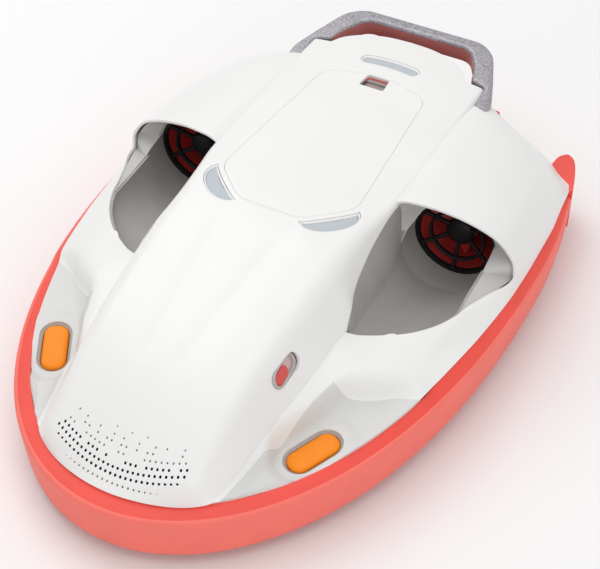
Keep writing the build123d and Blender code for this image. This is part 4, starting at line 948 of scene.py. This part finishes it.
def collar_profile(a):
    y = lip_y(a if a <= math.pi + 1e-6 else a - 2 * math.pi)
    return ((COLLAR_R + 0.5, y + 3.0), (COLLAR_R + 0.4, y + 0.6), (COLLAR_R - 0.3, y - 0.7),
           (COLLAR_R - 1.1, y - 0.9),
            (BORE_R + 0.1, y + 0.2), (BORE_R, y + 1.6), (BORE_R, max(58.0, y + 1.8)), (BORE_R, 72.0),
            (COLLAR_R - 0.6, 72.0),
            (COLLAR_R - 0.4, max(60.0, y + 1.0)))


collar = revolved("scoop_collar", collar_profile)
for part, tone in ((scoop, "scoop"), (ledge, "scoop_light"), (face, "scoop_light"), (collar, "scoop")):
    paint(part, tone)

# duct behind the collar and the grille before the propeller
duct = revolved("duct_tube", ((34.6, 72.2), (34.6, 130.0), (DUCT_R, 130.0), (DUCT_R, 78.0), (BORE_R, 75.0),
                              (BORE_R, 72.2)))
shade(duct, 40)
place_pair(duct, "duct", "duct_red", "duct")

HUB_R, RING_R, DISH = 11.6, 30.0, 7.0
SPOKE = ((-1.4, 3.0), (-1.4, 0.5), (-0.9, 0.0), (0.9, 0.0), (1.4, 0.5),
        (1.4, 3.0))    # across, towards the stern
grille_parts = [
    revolved("ring", ((33.2, 70.6), (32.9, 69.9), (31.6, 69.5), (30.3, 69.8), (29.8, 70.6), (29.8, 73.4),
            (33.2, 73.6))),
    revolved("mid_ring", ((22.9, 73.0), (22.4, 72.4), (20.9, 72.9), (20.5, 73.6), (20.6, 76.0),
            (22.8, 75.6))),
    revolved("hub", ((0.01, 75.0), (2.5, 75.1), (5.5, 75.6), (8.3, 76.6), (10.4, 78.0), (11.5, 79.6),
            (11.8, 81.2),
                     (0.01, 81.2)), 48)]
for k in range(6):
    a = math.radians(30 + 60 * k)
    radial, across = np.array((math.cos(a), 0, math.sin(a))), np.array((-math.sin(a), 0, math.cos(a)))
    rows = []
    for r in np.linspace(HUB_R - 2.0, RING_R + 1.0, 8):
        y = 70.4 + DISH * (RING_R + 1 - r) / (RING_R - HUB_R + 1)
        centre = np.array((DUCT_X, y, DUCT_Z)) + radial * r
        rows.append([tuple(centre + across * u + np.array((0, v, 0))) for u, v in SPOKE])
    grille_parts.append(clean(grid_object("spoke", np.array(rows), close=True)))
grille = join("grille_black", grille_parts)
shade(grille, 45)
place_pair(grille, "grille", "grille_black", "intake_grille")


def on_trough(x, y):
    """Height of the trough's floor at (x, y)."""
    keys, sections = [r[0] for r in SCOOP_ROWS], [r[2:6] for r in SCOOP_ROWS]
    cx, half, bottom, rim = smooth_curve(keys, sections, [y])[0]
    s = max(-1.0, min(1.0, (x - cx) / half))
    return rim - (rim - bottom) * math.sqrt(max(0.0, 1 - s * s))


ticks = []
for x0, y0, x1, y1 in TICKS:
    rows = []
    for t in np.linspace(0, 1, 9):
        x, y = x0 + (x1 - x0) * t, y0 + (y1 - y0) * t
        rows.append([(x + dx, y, on_trough(x + dx, y) + dz) for dx, dz in
                     ((-0.5, -0.4), (-0.4, 0.3), (0.4, 0.3), (0.5, -0.4))])
    ticks.append(paint(grid_object("tick", np.array(rows)), "tick"))

scoop_all = join("intake_scoop_soft", [scoop, ledge, face, collar] + ticks)
shade(scoop_all, 40)
place_pair(scoop_all, None, "scoop_grey", "intake_scoop")

# ---- bumper
def crease_z(y):
    """Height of the line between the band's top and its side."""
    return float(np.interp(y, (-255, -150, -72, -62, 60, 200), (47.4, 48.0, 49.6, 51.4, 52.6, 51.4)))


def low_z(y):
    """Height of the band's bottom edge."""
    return float(np.interp(y, (-255, -100, 60, 190), (10.5, 12.5, 17.0, 20.2)))


# faces from the crease up take the darker top coral (painted shade), those below it the lighter side coral (painted
# light)
CREASE_AT = 13       # profile point on the crease


def bumper_row(angle=None, y=None):
    def at(inset, bow):
        if angle is not None:
            return plan_point(angle, inset, bow)
        return half_width(y, inset), y
    ref_y = at(0, 0)[1]
    rz, cz, lz = rim_z(ref_y), crease_z(ref_y), low_z(ref_y)
    back = float(np.interp(ref_y, (-72, -62), (3.0, 2.0)))
    points = []
    for inset, bow, z in (
            (13.0, 15.0, lz + 7.0), (12.8, 14.8, lz + 0.8), (6.0, 6.0, lz), (3.4, 3.4, lz + 0.2),
            (2.6, 2.6, lz + 1.2),
            (2.1, 2.1, lz + 6), (1.3, 1.3, 27.0), (0.7, 0.7, 34.0), (0.25, 0.25, 40.5), (0.0, 0.0, cz - 4.2),
            (0.1, 0.1, cz - 2.4), (0.6, 0.6, cz - 1.1), (1.4, 1.4, cz - 0.35), (back, back + 0.4, cz),
            (back + 1.2, back + 2.0, cz + (rz - cz) * 0.28), (6.6, 9.6, cz + (rz - cz) * 0.72),
            (RIM_INSET - 1.2, RIM_BOW - 1.4, rz + 0.2), (RIM_INSET - 0.3, RIM_BOW - 0.4, rz + 0.55),
            (RIM_INSET + 0.35, RIM_BOW + 0.3, rz + 0.5), (RIM_INSET + 0.65, RIM_BOW + 0.6, rz + 0.1),
            (RIM_INSET + 0.7, RIM_BOW + 0.65, rz - 3.4), (RIM_INSET + 3.0, RIM_BOW + 3.0, 42.0)):
        x, yy = at(inset, bow)
        points.append((x, yy, z))
    return points


rows = [bumper_row(angle=a) for a in np.concatenate([np.linspace(0, 60, 64, endpoint=False), np.linspace(60, 90, 46)])]
rows += [bumper_row(y=y) for y in np.linspace(WIDEST_Y + 3, STERN_Y, 30)]
right_band = np.array(rows)
band = np.concatenate([mirror_grid(right_band[::-1]), right_band[1:]])
bumper = paint(grid_object("bumper_band", band), "bumper", "bumper_top")
# painted shade on the band's top, painted light on its side
for k, poly in enumerate(bumper.data.polygons):
    poly.material_index = 1 if k % (band.shape[1] - 1) >= CREASE_AT else 0
clean(bumper)
modifier(bumper, "SUBSURF", levels=1, render_levels=1)
bake(bumper)
shade(bumper, 50)
place(bumper, "hull", None, "bumper_coral", "rim_bumper")

# ---- stern fairing
FORE_Y = STERN_Y + 0.6        # where the fairing meets the band
HORN_CORNER = (half_width(224), 222.0)


def edge_points(*ys):
    return [(half_width(y), y) for y in ys]


scallop = [(112 + 25.5 * math.cos(a), 214.0 - 12.0 * math.sin(a)) for a in np.linspace(0.15, math.pi - 0.15, 13)]
half_plan = edge_points(FORE_Y, 200.0, 212.0) + [HORN_CORNER, (151.0, 231.0), (144.5, 235.6), (137.0, 231.0)]
half_plan += [(131.5, 223.5)] + scallop + [(84.0, 223.0), (80.0, 235.6), (60.0, 235.8), (30, 236.0)]
fairing = loop_prism("fairing_low", half_plan + [(-x, y) for x, y in reversed(half_plan)], 20.2, 36.0)
horn_loop = edge_points(FORE_Y, 205.0) + [HORN_CORNER, (151.0, 231.0), (144.5, 235.4), (138.4, 229.0),
                                          (137.0, 214.0), (139.5, 200.0), (141.0, FORE_Y)]
horn = loop_prism("horn", rounded(horn_loop, [0.3, 10, 6, 5, 2.2, 6, 6, 6, 0.3], 5), 30.0, 57.5)
inner_loop = [(84, FORE_Y), (84.4, 214), (82, 235.6), (-82, 235.6), (-84.4, 214), (-84, FORE_Y)]
inner_horn = loop_prism("inner_horn", rounded(inner_loop, [0.3, 6, 4, 4, 6, 0.3], 5), 30.0, 78.5)
for part in (horn, mirrored_copy(horn, "horn_left"), inner_horn):
    cut(fairing, part, "UNION")
soften(fairing, 2.2, 4, 40.0)
place(fairing, "hull", "fairing", "hull_coral", "stern_fairing")

# ---- carry handle
HANDLE_OUTER = [(0, 254.8), (54.0, 254.8), (68.0, 243.0), (80.5, 213.0), (89.0, 190.0), (89.0, 176.2)]
HANDLE_INNER = [(0, 242.6), (47.5, 242.6), (60.2, 222.0), (62.5, 208.4), (76.4, 204.4), (76.4, 176.2)]
HANDLE_STEPS, HANDLE_ROUND = 90, 3.2


def handle_z(y):
    """Height of the bar's top."""
    return float(np.interp(y, (176, 243, 255), (117.9, 127.2, 127.3)))


def dense(points, count):
    """Points evenly spaced along a polyline."""
    pts = np.array(points, float)
    seg = np.linalg.norm(np.diff(pts, axis=0), axis=1)
    s = np.concatenate([[0], np.cumsum(seg)])
    t = np.linspace(0, s[-1], count)
    return np.stack([np.interp(t, s, pts[:, k]) for k in range(2)], axis=1)


def handle_edge(half, radii):
    """One edge of the bar in plan, from the left foot round the stern to the right foot."""
    edge = dense(rounded(half, radii, 8), HANDLE_STEPS)
    return np.concatenate([edge[::-1] * np.array((-1, 1)), edge[1:]])


outer_edge = handle_edge(HANDLE_OUTER, [0, 16, 12, 8, 10, 0])
inner_edge = handle_edge(HANDLE_INNER, [0, 9, 6, 5, 3, 0])
sections = []
for o, i in zip(outer_edge, inner_edge):
    top_o, top_i = handle_z(o[1]), handle_z(i[1])
    depth = np.interp(min(o[1], i[1]), (176, 204, 233, 255), (8.9, 13.0, 15.8, 15.8))
    corners = [(*o, top_o - depth), (*o, top_o), (*i, top_i), (*i, top_i - depth)]
    sections.append(rounded(corners, HANDLE_ROUND, 5))
handle = clean(grid_object("handle_bar", np.array(sections), close=True), 0.01, fill=True)
shade(handle, 45)
paint(handle, "handle", "grip")
# inner faces below z 122.6 take the dark coral: painted reflection of the coral hull and painted shade on the grip
for poly in handle.data.polygons:
    c, normal = poly.center / MM, poly.normal
    inward = normal.y < -0.5 and abs(c.x) < 50 and c.y > 236
    side_in = 44 < abs(c.x) < 64 and c.y > 206 and normal.x * math.copysign(1, c.x) < -0.45
    poly.material_index = 1 if (inward or side_in) and c.z < 122.6 else 0
place(handle, "hull", None, "handle_metal", "carry_handle", "handle_grip")

# ---- buttons, bezels, lock, latch
def stack(name, layers, matrix=Matrix.Identity(4), close_top=True):
    """A closed form from stacked loops: (loop, z) from the bottom up."""
    rows = [[(x, y, z) for x, y in loop] for loop, z in layers]
    if close_top:
        last = np.array(rows[-1])
        middle = last.mean(axis=0)
        for share in (0.5, 0.02):
            rows.append([tuple(middle + (p - middle) * share) for p in last])
    obj = grid_object(name, np.array(rows), close=True)
    obj.data.transform(matrix)
    return clean(obj)


def rectangle(x, y, width, depth):
    a, b = width / 2, depth / 2
    return [(x - a, y - b), (x + a, y - b), (x + a, y + b), (x - a, y + b)]


def soft_loop(length, width, radius, steps=8):
    a, b = length / 2 - radius, width / 2 - radius
    pts = []
    for cx, cy, start in ((a, -b, -90), (a, b, 0), (-a, b, 90), (-a, -b, 180)):
        for k in range(steps + 1):
            t = math.radians(start + 90 * k / steps)
            pts.append((cx + radius * math.cos(t), cy + radius * math.sin(t)))
    return pts


BUTTON_LENGTH, BUTTON_WIDTH = 40.0, 18.5
button = stack("button_cap", [
    (soft_loop(BUTTON_LENGTH - 2 * shrink, BUTTON_WIDTH - 2 * shrink, 8.0 - shrink * 0.9), z)
    for shrink, z in ((0.1, -5.0), (0.1, 0.6), (0.35, 1.5), (1.0, 2.25), (2.0, 2.7), (3.4, 2.95))], BUTTON)
shade(button, 60)
place_pair(button, "button", "button_orange", "grip_button", ("button_right", "button_left"))

bezel_ring = stack("bezel_ring", [
    (capsule_loop(BUTTON_LENGTH + 2 * grow, BUTTON_WIDTH + 2 * grow, 14), z)
    for grow, z in ((4.3, -3.0), (4.3, 0.7), (4.0, 1.1), (3.2, 1.35), (1.6, 1.3), (0.8, 0.9), (0.45, 0.3),
                    (0.45, -10.0))], BUTTON, close_top=False)
base_loop = capsule_loop(BUTTON_LENGTH + 1, BUTTON_WIDTH + 1, 14)
bezel = join("bezel_cup", [bezel_ring, stack("bezel_floor", [(base_loop, -10.6),
            (base_loop, -10.0)], BUTTON)])
shade(bezel, 50)
place_pair(bezel, "bezel", "bezel_grey", "button_bezel")

lock_ring = stack("lock_ring", [
    (capsule_loop(29 + 2 * grow, 14 + 2 * grow, 12), z)
    for grow, z in ((0.0, -5.6), (0.0, 0.9), (-0.3, 1.35), (-0.9, 1.5), (-1.5, 1.3), (-1.9, 0.6),
                   (-2.0, -2.6))],
    LOCK, close_top=False)
tray_loop = capsule_loop(25.2, 10.2, 12)
tray = stack("lock_tray", [(tray_loop, -3.4), (tray_loop, -1.6)], LOCK)
lock_all = join("lock_badge", [paint(lock_ring, "lock"), paint(tray, "lock_tray")])
shade(lock_all, 50)
place(lock_all, "hull", None, "lock_grey", "lock_bezel")

latch_parts = []
for y0, y1, z0, z1 in ((153.4, 163.2, 121.0, 123.6), (163.4, 167.0, 121.0, 124.9)):
    layers = []
    for shrink, z in ((0.0, z0), (0.0, z1 - 0.8), (0.3, z1 - 0.2), (0.9, z1)):
        near, far, front, back = 9.6 - shrink, 8.7 - shrink, y0 + shrink, y1 - shrink
        layers.append((rounded([(-near, front), (near, front), (far, back), (-far, back)], 1.8, 4), z))
    latch_parts.append(stack("latch_part", layers))
latch_parts.append(loop_prism("latch_plate", rectangle(0, 157.1, 24.4, 22.2), 117.4, 121.0))
latch = join("latch_thumb", latch_parts)
shade(latch, 45)
place(latch, "latch", "latch", "latch_mauve", "battery_latch")

# guides and skirt of the lid: the CAD's own shapes, below the soft lid
lid_under = []
for hand in (-1, 1):
    lid_under.append(loop_prism("lid_hook", rounded(rectangle(hand * 12.5, -13.7, 9, 9.4), 1.0, 3), 119.6, 121.4))
    lid_under.append(loop_prism("lid_rail", rectangle(hand * 13.9, 155.75, 2.4, 22.5), 115.6, 122.6))
skirt_outer = rounded(rectangle(0, 69.2, 88, 126.4), 4, 5)
skirt_inner = grown(skirt_outer, -2.6)
skirt = [(skirt_outer, 118.3), (skirt_outer, 121.6), (skirt_inner, 121.6), (skirt_inner, 118.3),
         (skirt_outer, 118.3)]
lid_under.append(stack("lid_skirt", skirt, close_top=False))
lid_body = join("battery_lid_guides", lid_under)
latch_floor = stack("latch_floor", [(soft_loop(27, 25, 2), 115.8), (soft_loop(27, 25, 2), 116.8)],
                    Matrix.Translation((0, 0.1575, 0)))
place(latch_floor, "cover", "latch", "latch_mauve")
shade(lid_body, 40)
place(lid_body, "cover", "shell", "shell_white")
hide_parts("battery_cover")

# ---- stage, light, camera
FLOOR = 6000
floor_mesh = new_object("floor", [(x * FLOOR, y * FLOOR, 0) for x, y in ((-1, -1), (1, -1), (1, 1), (-1, 1))],
                        [(0, 1, 2, 3)])
floor_white = plastic("floor_white", (0.93, 0.93, 0.93), vary=0.004, rough=0.85, grain=0.0, blotch=0.6)
floor_mesh.data.materials.append(floor_white)

world = bpy.data.worlds.new("studio")
bpy.context.scene.world = world
world.use_nodes = True
feed(world.node_tree, world.node_tree.nodes["Background"], {"Color": (1.0, 1.0, 1.0, 1), "Strength": 0.64})


def aim(obj, location, direction):
    """Put a light or the camera at a place, looking in a direction."""
    obj.location = location
    obj.rotation_euler = Vector(direction).to_track_quat("-Z", "Y").to_euler()


def area(name, location, target, size, power):
    data = bpy.data.lights.new(name, "AREA")
    data.shape = "RECTANGLE"
    data.size = data.size_y = size
    data.energy = power
    aim(add_object(name, data), location, Vector(target) - Vector(location))


area("key", (-0.9, 0.5, 1.6), (0, 0, 0.05), 1.3, 10.0)
area("top", (0.2, -0.2, 1.9), (0, 0, 0), 1.6, 6.5)
area("fill", (1.2, -1.2, 0.8), (0, 0, 0.05), 1.0, 4.0)

camera_data = bpy.data.cameras.new("camera")
camera_data.lens = 90.0
camera_data.sensor_width = 36.0
camera_data.sensor_fit = "HORIZONTAL"
camera_data.clip_start = 0.05
camera_data.clip_end = 50.0
camera = add_object("camera", camera_data)
aim(camera, (0.4133, -0.7375, 0.8273), (-0.3456, 0.6446, -0.682))
bpy.context.scene.camera = camera
bpy.context.scene.view_settings.view_transform = "Standard"
bpy.context.scene.view_settings.look = "None"
